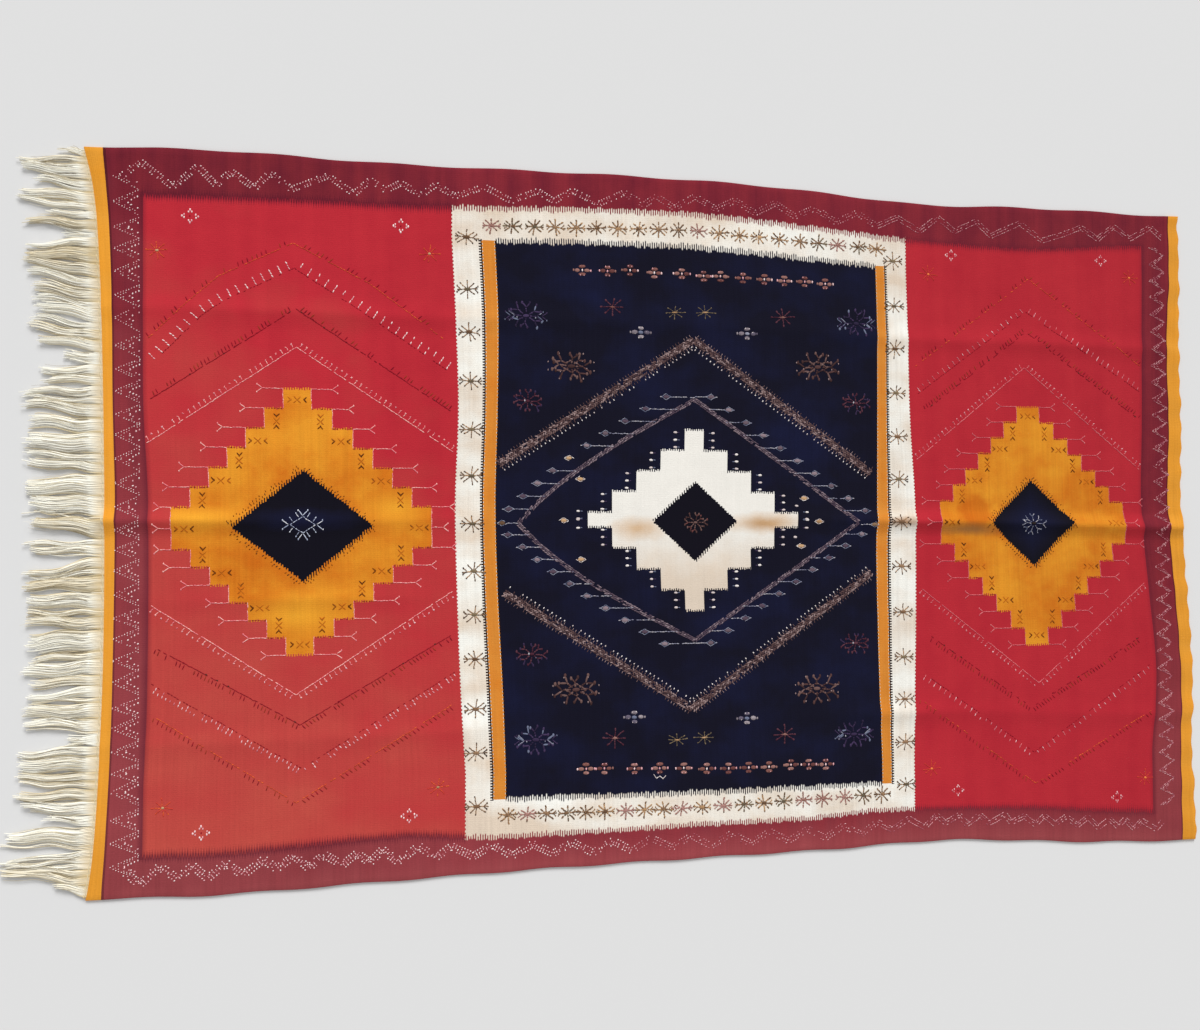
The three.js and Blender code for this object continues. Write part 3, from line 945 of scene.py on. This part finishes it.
FAR_ZIGZAG_REACH = 668      # half the length of the zigzag across the far end
# Lines of knots in each tooth at the fringed end: distance inside the tooth's tip, pitch, knot
# size and share of gaps
NESTED_TEETH = ((0, 5.6, 2.8, 0.08), (10, 5.6, 2.4, 0.45), (26, 7, 4.0, 0.25))


def border_motifs():
    """Lines of knots zigzagging round the burgundy border."""
    motifs = Motifs(21)
    # Corners of the long zigzags beside each selvedge, the fringed half and then the far half
    near_plus = (
        (-1192, 690), (-1155, 725), (-1092, 677), (-1044, 722), (-1008, 685), (-980, 716), (-932, 684),
        (-903, 719), (-860, 686), (-787, 719), (-733, 684), (-701, 716), (-668, 696), (-638, 713),
        (-595, 690), (-565, 714), (-524, 692), (-461, 716), (-405, 689), (-347, 714), (-312, 694),
        (-271, 719), (-213, 694), (-157, 722),
    )
    far_plus = (
        (-157, 722), (-112, 698), (-83, 718), (-44, 695), (4, 723), (52, 698), (96, 720), (143, 694),
        (190, 719), (237, 692), (285, 714), (335, 684), (386, 709), (435, 680), (484, 703), (540, 674),
        (585, 709), (627, 679), (682, 705), (720, 673), (794, 707), (852, 669), (900, 684), (954, 706),
        (998, 680), (1041, 713), (1083, 685), (1140, 716), (1172, 690),
    )
    near_minus = (
        (-1165, -697), (-1137, -724), (-1101, -690), (-1066, -716), (-1039, -692), (-1009, -719),
        (-975, -690), (-942, -716), (-902, -687), (-876, -707), (-843, -682), (-814, -709), (-783, -683),
        (-747, -707), (-718, -684), (-692, -705), (-667, -679), (-635, -706), (-593, -676), (-558, -702),
        (-526, -680), (-481, -703), (-440, -682), (-398, -706), (-356, -684), (-312, -706), (-270, -685),
        (-226, -709), (-182, -686), (-140, -709),
    )
    far_minus = (
        (-140, -709), (-98, -684), (-52, -707), (-8, -684), (36, -708), (82, -684), (126, -707),
        (170, -683), (214, -706), (258, -682), (300, -704), (342, -679), (384, -700), (424, -675),
        (459, -694), (500, -671), (539, -693), (568, -667), (590, -685), (624, -669), (643, -691),
        (676, -671), (698, -691), (738, -673), (753, -692), (787, -679), (815, -700), (838, -681),
        (866, -701), (894, -685), (924, -707), (950, -689), (978, -715), (1007, -696), (1028, -715),
        (1048, -698), (1072, -722), (1092, -704), (1130, -725), (1148, -708),
    )
    for points, besides in ((near_plus, (-5.5, 5.5)), (near_minus, (-7, 0, 7))):
        for beside in besides:
            motifs.follow(points, 6, beside, 60, 3.4, 2.8, ROSE_WHITES, 0.3)
            motifs.follow(points, 6, beside * 0.4, 60, 2.8, 2.1, DUSTY_ROSES, 0.5)
    for points, roses in ((far_plus, DIM_ROSES), (far_minus, DIM_ROSES + DUSTY_ROSES[:1])):
        near = [knot for knot in points if knot[0] < 440]
        for beside in (-6, 0, 6):
            motifs.follow(near, 6, beside, 40, 3.8, 2.1, DUSTY_ROSES + DIM_ROSES, 0.3)
        for beside, gaps in ((-5, 0.15), (1, 0.45), (6, 0.2)):
            motifs.follow(points[len(near) - 1:], 5.6, beside, 8, 5.4, 1.9, roses, gaps)

    # Where the teeth point at the fringed end, across the rug
    teeth = (
        694, 641, 589, 546, 500, 451, 405, 350, 302, 258, 211, 170, 122, 73, 25, -21, -60, -102, -149,
        -197, -238, -281, -324, -375, -415, -461, -504, -541, -596, -641, -688,
    )
    for i, y in enumerate(teeth):
        tip = -1195 - 11 * (max(0, y) / 650) ** 2
        inner = -1146 - 10 * (max(0, y) / 650) ** 2 + 8 * max(0, -y) / 700
        half = (y - teeth[i + 1]) / 2 if i + 1 < len(teeth) else 23
        for side in (-1, 1):
            if (i, side) != (0, 1):
                for nested, pitch, size, gaps in NESTED_TEETH:
                    path = ((tip + nested, y), (inner, y + side * half * (1 - nested / (inner - tip + 4))))
                    motifs.follow(path, pitch, 0, 60, size, size * 0.75, ROSE_WHITES, gaps)
    y = FAR_ZIGZAG_REACH
    while y > -FAR_ZIGZAG_REACH:
        outer = 1171 + 8 * (FAR_ZIGZAG_REACH - y) / (2 * FAR_ZIGZAG_REACH)
        inner = outer - 37
        middle, foot = y - motifs.chances.uniform(18, 22), y - motifs.chances.uniform(38, 43)
        for shift, gaps in ((0, 0.1), (7, 0.2), (15, 0.4)):
            zigzag = ((inner + shift, y), (outer + shift / 3, middle), (inner + shift, foot))
            motifs.follow(zigzag, 6.5, 0, 12, 6.5, 1.7, DIM_ROSES, gaps)
        y = foot
    return motifs


# The white frame's stars: along the two sides as (start, middle, end) and up the two crossbars
FRAME_ROWS = (((-446, 633), (-11, 647), (434, 628), 20), ((-410, -621), (-7, -624), (438, -613), 20))
FRAME_COLUMNS = (
    ((-500, 606), (-497, 494), (-493, 402), (-490, 298), (-487, 195), (-487, 96), (-485, -6), (-482, -106),
     (-480, -198), (-478, -291), (-477, -396), (-475, -488), (-474, -600)),
    ((473, 602), (475, 498), (476, 399), (478, 298), (481, 197), (483, 100), (486, 2), (488, -99),
     (490, -203), (492, -305), (493, -401), (494, -498), (495, -593)),
)


def frame_motifs():
    """Brown, olive and faded rose stars on the white frame."""
    motifs = Motifs(22)
    vary = motifs.chances.uniform
    for column in FRAME_COLUMNS:
        for x, y in column:
            half = (vary(21, 24), vary(17, 20))
            motifs.star(x, y, half, 2.9, BROWNS + TANS[1:], DARK_BROWNS, BROWNS, knob=1.4)
            motifs.yarn(x, y, 0, 15, 9, BROWNS + OLIVES)
            for side in (-1, 1):
                motifs.fork(x + side * 14, y, 90 - side * 90, 10, 2.6, DARK_BROWNS + BROWNS[:1])
    wools = (BROWNS, OLIVES + BROWNS, TANS[1:] + BROWNS[:2], BROWNS + TANS, FADED_ROSES)
    for start, middle, end, count in FRAME_ROWS:
        for i in range(count):
            share = i / (count - 1) * 2
            first, second = (start, middle) if share <= 1 else (middle, end)
            share -= 0 if share <= 1 else 1
            x, y = (a + (b - a) * share for a, b in zip(first, second))
            wool = motifs.chances.choice(wools)
            half = (vary(17, 21), vary(15, 18))
            motifs.star(x + vary(-3, 3), y, half, 4.2, wool, wool + DARK_BROWNS[2:], wool, knob=1.1)
            motifs.yarn(x, y, 0, 12, 9, wool)
            for side in (-1, 1):
                motifs.fork(x + side * 12, y, 90 - side * 90, 8, 2.2, wool)
    return motifs


# Chevrons of the two red panels, as (left end, tip, right end), from the outermost inwards
RED_CHEVRONS = {
    "dashes": (
        ((-1136, 366), (-1055, 449), (-1002, 499), (-856, 574), (-699, 496), (-548, 386)),
        ((-1117, -392), (-840, -576), (-526, -386)),
        ((520, 356), (814, 576), (1106, 379)), ((529, -400), (818, -604), (1121, -444)),
    ),
    "pairs": (
        ((-1127, 316), (-1034, 416), (-985, 452), (-853, 522), (-716, 437), (-534, 316)),
        ((-1121, -328), (-829, -506), (-520, -317)),
        ((532, 297), (806, 498), (1104, 317)), ((540, -343), (815, -532), (1121, -335)),
    ),
    "brown": (
        ((-1130, 243), (-849, 437), (-532, 233)), ((-1115, -256), (-833, -418), (-529, -240)),
        ((536, 248), (805, 450), (1102, 250)), ((560, -260), (810, -428), (1098, -268)),
    ),
    "forked": (
        ((-1135, 154), (-847, 358), (-526, 146)), ((-1123, -172), (-842, -357), (-526, -148)),
        ((527, 145), (801, 365), (1100, 130)), ((534, -148), (829, -372), (1109, -141)),
    ),
}
RED_FLOWERS = (
    (-1058, 619), (-637, 622), (-1023, -628), (-613, -613),
    (618, 623), (1005, 629), (622, -612), (1028, -645),
)
RED_STARS = (
    (-1121, 546), (-577, 566), (-1096, -575), (-554, -556),
    (561, 576), (1081, 591), (557, -560), (1103, -602),
)


def chevron_rows(kind, out, at_far_end):
    """A chevron's rows of yarns: (pitch, beside, lean, length, width, wools, gaps)."""
    rusts = RUSTS[:2] + DARK_REDS
    if kind == "dashes":
        return (
            (7, 0, 0, 7, 1.8, BRIGHT_ORANGES[:2] + RUSTS[2:], 0.4 if at_far_end else 0.15),
            (10, 6 * out, 75 * out, 10, 2.2, rusts, 0.45 if out > 0 else 0.15),
        )
    if kind == "brown":
        return (
            (6.5, 0, 0, 8, 1.8, DARK_REDS, 0.6 if at_far_end else 0.12),
            (26, 0.5, 0, 5, 3.0, BLACKS[1:] + DARK_REDS, 0.4),
            (8, 7 * out, 80 * out, 11, 2.4, rusts, 0.12 if at_far_end else 0.3),
        )
    if kind == "forked":
        roses = FAR_ROSES if at_far_end else ROSES
        return (
            (6, 0, 0, 7, 2.2, roses, 0.1),
            (12, 6 * out, 80, 7, 1.9, roses, 0.15),
            (12, 11 * out, 40, 5, 2.0, roses + DUSTY_ROSES, 0.2),
            (12, 11 * out, 130, 5, 2.0, roses + DUSTY_ROSES, 0.3),
        )
    if at_far_end:
        whites, pitch, gaps = DUSTY_ROSES + FAR_ROSES, 15.5, 0.08
        strokes = ((4, 7.5, 2.2), (10, 7, 2.1))
    elif out > 0:
        whites, pitch, gaps = ROSE_WHITES, 19, 0.08
        strokes = ((4, 6.5, 2.6), (10, 5.5, 2.4), (16, 6.5, 2.7))
    else:
        whites, pitch, gaps = ROSE_WHITES[1:] + DUSTY_ROSES, 9, 0.3
        strokes = ((5, 6.5, 2.2), (12, 6, 2.4))
    strokes = [(pitch, beside * out, 100, length, width, whites, gaps) for beside, length, width in strokes]
    return *strokes, (7, 0, 0, 6, 1.6, DARK_REDS, 0.3)


def red_panel_motifs():
    """Chevrons of small ticks, flowers and stars on the red panels."""
    motifs = Motifs(23)
    for kind, paths in RED_CHEVRONS.items():
        for path in paths:
            for row in chevron_rows(kind, 1 if path[0][1] > 0 else -1, path[0][0] > 0):
                motifs.follow(path, *row)
    for x, y in RED_FLOWERS:
        size, petals = (34, ROSE_WHITES) if x < 0 else (30, ROSE_WHITES[1:] + DUSTY_ROSES)
        motifs.flower(x, y, size, petals, DARK_REDS)
    for x, y in RED_STARS:
        wool = BRIGHT_ORANGES[:2] + FAINT_ORANGES if x < 0 else FAINT_ORANGES
        motifs.star(x, y, (20, 18), 1.8, wool, wool, TANS if x < 0 else BRIGHT_ORANGES[2:])
    return motifs


# Once round a diamond's tips, as shares of its half sizes
DIAMOND_TIPS = ((-1, 0), (0, 1), (1, 0), (0, -1), (-1, 0))


def medallion_edges(name):
    """Each step, about the medallion's middle: side x, side y, row, outer corner, foot and size."""
    shape = MEDALLIONS[name]
    for side_x in (-1, 1):
        for side_y in (-1, 1):
            step_x = shape["steps"][0 if side_x < 0 else 1]
            step_y = shape["steps"][2 if side_y < 0 else 3]
            for row in range(shape["count"] + 1):
                out = shape["block"][0] + (shape["count"] - row) * step_x
                top = shape["block"][1] + row * step_y
                foot = top - step_y if row else 0
                yield side_x, side_y, row, (side_x * out, side_y * top), side_y * foot, (step_x, step_y)


def yellow_medallion_motifs():
    """Outlines, forks and bird tracks of the two yellow medallions, and stars on their dark diamonds."""
    motifs = Motifs(24)
    for name, stem, roses in (("fringed", 42, ROSES), ("far", 38, FAR_ROSES)):
        at_x, at_y = MEDALLIONS[name]["at"]
        last_row = MEDALLIONS[name]["count"]
        for side_x, side_y, row, (out, top), foot, (step_x, step_y) in medallion_edges(name):
            corner, low = place(at_x + out, at_y + top), place(at_x + out, at_y + foot)
            inner = place(at_x + out - side_x * step_x, at_y + top)
            motifs.follow((low, corner), 5, 0, 0, 6.5, 1.8, roses, 0.05)
            if row < last_row:
                motifs.follow((corner, inner), 6, 0, 0, 5, 2.2, RUSTS, 0.25)
            short = (name, side_x, row) == ("fringed", -1, 0)
            reach = 22 if short else stem * motifs.chances.uniform(0.75, 1.1)
            end = (corner[0] + side_x * reach, corner[1])
            outwards = 90 - side_x * 90
            motifs.line(corner, end, 2.0, roses)
            motifs.fork(*end, outwards, 13, 2.2, roses)
            if side_y > 0 and row == 0:
                tip = place(at_x + out, at_y)
                motifs.line(tip, (tip[0] + side_x * 24, tip[1]), 2.0, roses)
                motifs.fork(tip[0] + side_x * 24, tip[1], outwards, 13, 2.4, roses)
            if row == 0 and side_y < 0 or row == last_row and side_x < 0:
                continue
            if row == 0:
                x, y = place(at_x + out - side_x * 26, at_y)
            elif row == last_row:
                x, y = place(at_x, at_y + top - side_y * 22)
            else:
                x, y = place(at_x + out - side_x * 24, at_y + top - side_y * 26)
            bird_tracks(motifs, x, y, upright=row % 2 == 1)
    for name in ("fringed", "far"):
        at_x, at_y = DIAMONDS[name]["at"]
        half_x, half_y = DIAMONDS[name]["half"]
        tips = [place(at_x + a * half_x, at_y + b * half_y) for a, b in DIAMOND_TIPS]
        motifs.follow(tips, 7, 6, 70, 5, 2.2, MARK_BROWNS + BLACKS, 0.25)
        motifs.follow(tips, 8, 11, 70, 4, 2.0, MARK_BROWNS, 0.5)
    star_x, star_y = -831, -9
    rim = [(star_x + a * 25, star_y + b * 17) for a, b in DIAMOND_TIPS]
    motifs.follow(rim, 5.5, 0, 0, 6, 2.0, COOL_WHITES)
    motifs.follow(rim, 15, 7, 90, 8, 1.8, COOL_WHITES)
    motifs.follow(rim, 15, 13, 90, 4, 3, COOL_WHITES)
    for turn in (0, 90, 180, 270):
        way = math.radians(turn)
        motifs.fork(star_x + math.cos(way) * 28, star_y + math.sin(way) * 18, turn, 15, 2.2, COOL_WHITES)
    motifs.star(815, 0, (32, 25), 1.9, GREYS, GREYS, BLACKS, fork=0.35)
    return motifs


def bird_tracks(motifs, x, y, upright):
    """Two small brown arrowheads facing each other over a paler cross."""
    for side in (-1, 1):
        turn = (90 if side > 0 else 270) if upright else (0 if side > 0 else 180)
        browns = motifs.chances.choice((MARK_BROWNS, MARK_BROWNS, MARK_BROWNS[2:] + TRACK_ORANGES))
        point = (x, y + side * 10) if upright else (x + side * 13, y)
        for arm in (-44, 44):
            way = math.radians(turn + arm)
            motifs.yarn(x + math.cos(way) * 5, y + math.sin(way) * 5, turn + arm, 11, 2.2, TRACK_ORANGES)
            tip = (point[0] + math.cos(way) * 4, point[1] + math.sin(way) * 4)
            motifs.yarn(*tip, turn + arm, 10, 3.0, browns)
        motifs.dot(*point, browns, 5)


# The field's two braided chevrons as (left end, tip, right end), the inner diamond's four tips
# and how far its left and right sides bow outwards
FIELD_CHEVRONS = (((-431, 121), (0, 403), (415, 113)), ((-418, -152), (-6, -409), (415, -113)))
INNER_DIAMOND = ((-388, -5), (2, 270), (383, 1), (1, -259))
LEFT_BOW = 21
RIGHT_BOW = 2
# Heads of the pins on the inner diamond's four sides, as the first, the last and how many, how
# far each row bows outwards, and the one pin that has a lozenge instead: (number, side, above)
PIN_ROWS = (
    ((-63, 275), (-408, 26), 10), ((-410, -29), (-67, -266), 10),
    ((39, 277), (400, 27), 10), ((392, -26), (37, -266), 10),
)
PIN_BOW = (24, 20, 0, 0)
LOZENGE_PIN = (5, -1, True)
# Places of the field's smaller motifs
CROSSES = (
    (-250, 546), (-194, 547), (-144, 551), (-89, 548), (-27, 549), (23, 546), (62, 547), (114, 546),
    (164, 545), (211, 544), (259, 544), (308, 541), (-241, -530), (-201, -531), (-135, -534),
    (-79, -535), (-25, -537), (27, -540), (76, -541), (122, -541), (169, -542), (220, -539), (262, -540),
    (302, -541),
)
COPPER_STARS = ((-183, 469), (207, 461), (-178, -467), (207, -471))
OLIVE_STARS = ((-43, 462), (26, 465), (-40, -475), (21, -472))
PURPLE_STARS = ((-372, 441), (382, 454), (-349, -465), (370, -476))
WHITE_FLOWERS = ((-120, 415), (123, 421), (-135, -423), (119, -433))
BROWN_STARS = ((-274, 336), (289, 351), (-263, -361), (282, -372))
MAROON_STARS = ((-368, 258), (380, 272), (-358, -283), (375, -272))
LOZENGES = ((-254, 92), (-252, -82), (-290, 2), (255, 54), (247, -53), (289, 2))
SINGLE_KNOTS = ((237, 37), (234, -33))


def bowed_sides():
    """The inner diamond's four sides, each bowed outwards most near its side tip."""
    left, top, right, bottom = INNER_DIAMOND
    for tip in (left, right):
        for end in (top, bottom):
            span = math.hypot(end[0] - tip[0], end[1] - tip[1])
            out = 1 if (tip is left) == (end is top) else -1
            path = []
            for i in range(9):
                share = i / 8
                bow = LEFT_BOW if tip is left else RIGHT_BOW
                bow = bow * math.sin(math.pi * share ** 0.75) * out / span
                path.append((tip[0] + (end[0] - tip[0]) * share - (end[1] - tip[1]) * bow,
                             tip[1] + (end[1] - tip[1]) * share + (end[0] - tip[0]) * bow))
            yield path


def crossing(path, y):
    """Where a side crosses a height."""
    for (x0, y0), (x1, y1) in zip(path, path[1:]):
        if min(y0, y1) <= y <= max(y0, y1) and y0 != y1:
            return x0 + (x1 - x0) * (y - y0) / (y1 - y0)
    return path[-1][0]


def field_line_motifs():
    """The braided chevrons, the inner diamond and its pins."""
    motifs = Motifs(25)
    for path in FIELD_CHEVRONS:
        inward = -1 if path[1][1] > 0 else 1
        for beside, lean in ((-6, 35), (-2, -35), (2, 35), (6, -35)):
            motifs.follow(path, 5, beside, lean, 8, 3.4, BRAID_BROWNS, 0.05)
        for beside in (-11.5, 11.5):
            motifs.follow(path, 7.5, beside, 90, 6, 1.8, BRAID_BROWNS[:3], 0.2)
        motifs.follow(path, 10.5, 17 * inward, 90, 4.2, 2.8, BONE_WHITES, 0.1)
    sides = list(bowed_sides())
    for path in sides:
        for beside in (-3.4, 0, 3.4):
            motifs.follow(path, 6, beside, 15, 7.5, 3.2, MAUVES, 0.08)
    for (first, last, count), bow, path in zip(PIN_ROWS, PIN_BOW, sides):
        for i in range(count):
            share = i / (count - 1)
            x, y = (a + (b - a) * share for a, b in zip(first, last))
            side = -1 if x < 0 else 1
            x -= bow * math.sin(math.pi * share)
            if (i, side, y > 0) == LOZENGE_PIN:
                motifs.lozenge(x, y, TANS, BONE_WHITES)
                continue
            motifs.line((x - side * 8, y), (crossing(path, y), y), 2.1, PIN_WHITES, 0.05)
            motifs.yarn(x, y, 0, 15, 10, MAUVES)
            for end in (-1, 1):
                head = ((x - 11, y), (x, y + end * 6.5), (x + 11, y))
                motifs.follow(head, 8, 0, 0, 8.5, 1.7, GREYS[:2], 0.1)
            motifs.yarn(x + side * 12, y, 0, 5, 2.4, PIN_WHITES)
    for side in (-1, 1):
        motifs.line((side * 388, -4), (side * 412, -4), 2.1, PIN_WHITES)
        motifs.lozenge(side * 422, -4, BROWNS, GREYS)
    return motifs


def field_star_motifs():
    """Stars, crosses and flowers on the navy field, and the knots round the white medallion."""
    motifs = Motifs(26)
    for x, y in CROSSES:
        wide = motifs.chances.uniform(0.9, 1.1)
        for side in (-1, 1):
            motifs.yarn(x + side * 10 * wide, y, 0, 13, 9, COPPERS)
            motifs.dot(x + side * 17.5 * wide, y, ROSE_WHITES[1:] + COPPERS[1:2], 6)
            motifs.yarn(x, y + side * 8.5, 0, 16, 8.5, COPPERS)
            for beside in (-3.6, 3.6):
                motifs.dot(x + beside, y + side * 9.5, ROSE_WHITES[2:] + COPPERS[1:2], 4.2)
        motifs.dot(x, y, ROSE_WHITES, 6)
    for x, y in COPPER_STARS:
        motifs.star(x, y, (25, 19), 3.2, MAROONS, MAROONS, COPPERS)
        motifs.yarn(x, y, 0, 22, 2.8, COPPERS[:2])
        motifs.yarn(x, y, 90, 12, 2.6, COPPERS)
    for x, y in OLIVE_STARS:
        motifs.star(x, y, (22, 14), 2.0, OLIVES, OLIVES, TANS)
        motifs.yarn(x, y, 0, 16, 3.0, TANS)
    for x, y in PURPLE_STARS:
        motifs.star(x, y, (44, 30), 4.2, PURPLES, PURPLES + GREYS[1:2], PURPLES, fork=0.42)
        for side in (-1, 1):
            motifs.fork(x + side * 34, y, 90 - side * 90, 14, 2.2, GREYS[1:2] + PURPLES[1:2])
            motifs.fork(x + side * 24, y, 90 - side * 90, 16, 2.2, GREYS[:2])
            motifs.dot(x + side * 20, y - 3, PIN_WHITES, 4)
    for x, y in WHITE_FLOWERS:
        motifs.yarn(x, y, 0, 11, 8, GREYS[:2])
        for side in (-1, 1):
            motifs.yarn(x + side * 14, y, 0, 14, 10, WARM_GREYS)
            motifs.dot(x + side * 23, y, WARM_GREYS, 6)
            motifs.yarn(x, y + side * 9.5, 0, 14, 8.5, WARM_GREYS)
            for beside in (-4, 4):
                motifs.dot(x + beside, y + side * 11, BONE_WHITES, 3.6)
            motifs.dot(x + side * 13, y + side * 2, BONE_WHITES, 4)
    for x, y in BROWN_STARS:
        motifs.star(x, y, (52, 32), 4.8, STAR_BROWNS, STAR_BROWNS, STAR_BROWNS, fork=0.42)
        for side in (-1, 1):
            motifs.dot(x + side * 12, y + 7, BONE_WHITES[1:] + BRAID_BROWNS, 4.4)
            motifs.dot(x + side * 34, y - 5, BRAID_BROWNS[2:3], 4.4)
            motifs.dot(x + side * 24, y + side * 12, BRAID_BROWNS[2:3], 4)
            for up in (-1, 1):
                motifs.dot(x + side * 26, y + up * 27, BRAID_BROWNS[2:3], 4.4)
                motifs.dot(x + side * 50, y + up * 9, BRAID_BROWNS[2:3], 4)
        rim = [(x + a * 23, y + b * 13) for a, b in DIAMOND_TIPS]
        motifs.follow(rim, 6, 0, 0, 7, 4, STAR_BROWNS, 0.1)
    for x, y in MAROON_STARS:
        motifs.star(x, y, (36, 24), 3.6, MAROONS, MAROONS + PURPLES[:1], MAROONS, fork=0.35)
        motifs.dot(x - 6, y + 1, GREYS, 5)
        motifs.dot(x + 9, y - 8, GREYS[1:2], 3.6)
    for x, y in LOZENGES:
        motifs.lozenge(x, y, TANS, BONE_WHITES)
    for x, y in SINGLE_KNOTS:
        motifs.yarn(x, y, 0, 9, 5.5, BONE_WHITES)
    motifs.star(3, -1, (27, 21), 3.2, STAR_BROWNS, STAR_BROWNS + COPPERS[2:], STAR_BROWNS, fork=0.35)
    at_x, at_y = MEDALLIONS["middle"]["at"]
    for side_x, side_y, row, (out, top), foot, (step_x, step_y) in medallion_edges("middle"):
        knots = ((top + foot) / 2 + 16 * k for k in (-1, 0, 1)) if row else (side_y * 18, 1 + side_y)
        for knot in knots:
            x, y = place(at_x + out + side_x * 21, at_y + knot)
            motifs.yarn(x, y, 0, 9, 5.2, BONE_WHITES)
            motifs.yarn(x - side_x * 7, y, 0, 6, 2.4, GREYS[1:2] + PURPLES[1:2])
    loose_end = ((-92, -548), (-86, -556), (-78, -552), (-72, -558), (-66, -552))
    motifs.follow(loose_end, 5, 0, 0, 7, 1.8, BONE_WHITES)
    return motifs


STITCH_SIDES = 5
STITCH_RINGS = 4
STITCH_THICKNESS = 1.5
STITCH_SEAT = 0.15      # height of a stitch's middle over the cloth's face


def stitch_down(name, motifs):
    """One mesh of a motif group's yarns, each a small spindle half sunk in the cloth."""
    turns, sizes, colours = [], [], []
    for x, y, turn, length, width, colour in motifs.yarns:
        turns += surface_tilt(x, y, turn)
        sizes += (length * MM, width * MM, STITCH_THICKNESS * MM)
        colours += colour
    points = [surface(x, y, STITCH_SEAT) for x, y, *_ in motifs.yarns]
    piece = new_piece(name, points, [], turn=turns, size=sizes, dye=colours)
    make, link, incoming = new_nodes(piece)
    spindle = make("GeometryNodeMeshUVSphere")
    spindle.inputs["Segments"].default_value = STITCH_SIDES
    spindle.inputs["Rings"].default_value = STITCH_RINGS
    spindle.inputs["Radius"].default_value = 0.5
    lying = make("GeometryNodeTransform")
    lying.inputs["Rotation"].default_value = (0, math.pi / 2, 0)
    scatter = make("GeometryNodeInstanceOnPoints")
    link(incoming, scatter.inputs["Points"])
    link(spindle.outputs["Mesh"], lying.inputs["Geometry"])
    link(lying.outputs["Geometry"], scatter.inputs["Instance"])
    for attribute, inlet in (("turn", "Rotation"), ("size", "Scale")):
        read = make("GeometryNodeInputNamedAttribute")
        read.data_type = "FLOAT_VECTOR"
        read.inputs["Name"].default_value = attribute
        link(read.outputs["Attribute"], scatter.inputs[inlet])
    realize = make("GeometryNodeRealizeInstances")
    link(scatter.outputs[0], realize.inputs[0])
    link(realize.outputs[0], make("NodeGroupOutput").inputs[0])
    apply_modifiers(piece)
    bpy.ops.object.shade_smooth()
    return piece


def motif_finish():
    """Wool in each yarn's own dye."""
    finish, tree, shader = new_finish("pattern wool", 0.9)
    read = read_value(tree, "dye")
    where = tree.nodes.new("ShaderNodeTexCoord")
    node = tree.nodes.new("ShaderNodeVectorMath")
    node.operation = "SCALE"
    node.inputs["Scale"].default_value = 700
    tree.links.new(where.outputs["Object"], node.inputs[0])
    fibre = cloudy(tree, node.outputs[0], 2, 0.6)
    tree.links.new(dimmed(tree, read.outputs["Color"], fibre * 0.1 + 1), shader.inputs["Base Color"])
    raise_bump(tree, shader, fibre, 0.2 * MM)
    return finish


# The rug

cloth = keep(weave_cloth(), "flat_woven_wool", cloth_finish(), "woven_cloth")
yarn_wool = yarn_finish()
fringe_pieces = []
for yarns in (*hang_fringe(), twine_heading()):
    fringe_pieces.append(keep(yarns, "warp_yarn", yarn_wool, "warp_fringe"))
pattern_wool = motif_finish()
motif_pieces = []
for name, chart in (
    ("border_knots", border_motifs), ("frame_stars", frame_motifs), ("red_panel_chevrons", red_panel_motifs),
    ("medallion_trims", yellow_medallion_motifs), ("field_lines", field_line_motifs),
    ("field_stars", field_star_motifs),
):
    motif_pieces.append(keep(stitch_down(name, chart()), "pattern_wool", pattern_wool))
fringe_pieces + motif_pieces


# Floor, light and camera

bpy.ops.mesh.primitive_plane_add(size=40, location=(0, 0, -0.0004))
floor = bpy.context.object
floor.name = "floor"
floor_finish, _, floor_shader = new_finish("pale floor", 0.9)
floor_shader.inputs["Base Color"].default_value = dye(224, 224, 224)
floor.data.materials.append(floor_finish)

CAMERA_PLACE = (-0.5849, -0.0491, 2.1351)
CAMERA_PITCH = 1.68
CAMERA_ROLL = -9.96
camera_data = bpy.data.cameras.new("camera")
camera_data.lens = 30
camera_data.sensor_width = 36
camera = bpy.data.objects.new("camera", camera_data)
camera.location = CAMERA_PLACE
camera.rotation_euler = (math.radians(CAMERA_PITCH), math.radians(CAMERA_ROLL), 0)
bpy.context.collection.objects.link(camera)
bpy.context.scene.camera = camera

window = bpy.data.lights.new("window light", "SUN")
window.energy = 2.9
window.angle = math.radians(25)
window_place = bpy.data.objects.new("window light", window)
window_place.rotation_euler = Vector((-0.1, -1.0, -0.6)).to_track_quat("-Z", "Y").to_euler()
bpy.context.collection.objects.link(window_place)
world = bpy.data.worlds.new("studio")
bpy.context.scene.world = world
world.use_nodes = True
world.node_tree.nodes["Background"].inputs["Color"].default_value = (1, 1, 1, 1)
world.node_tree.nodes["Background"].inputs["Strength"].default_value = 0.53
bpy.context.scene.view_settings.view_transform = "Standard"
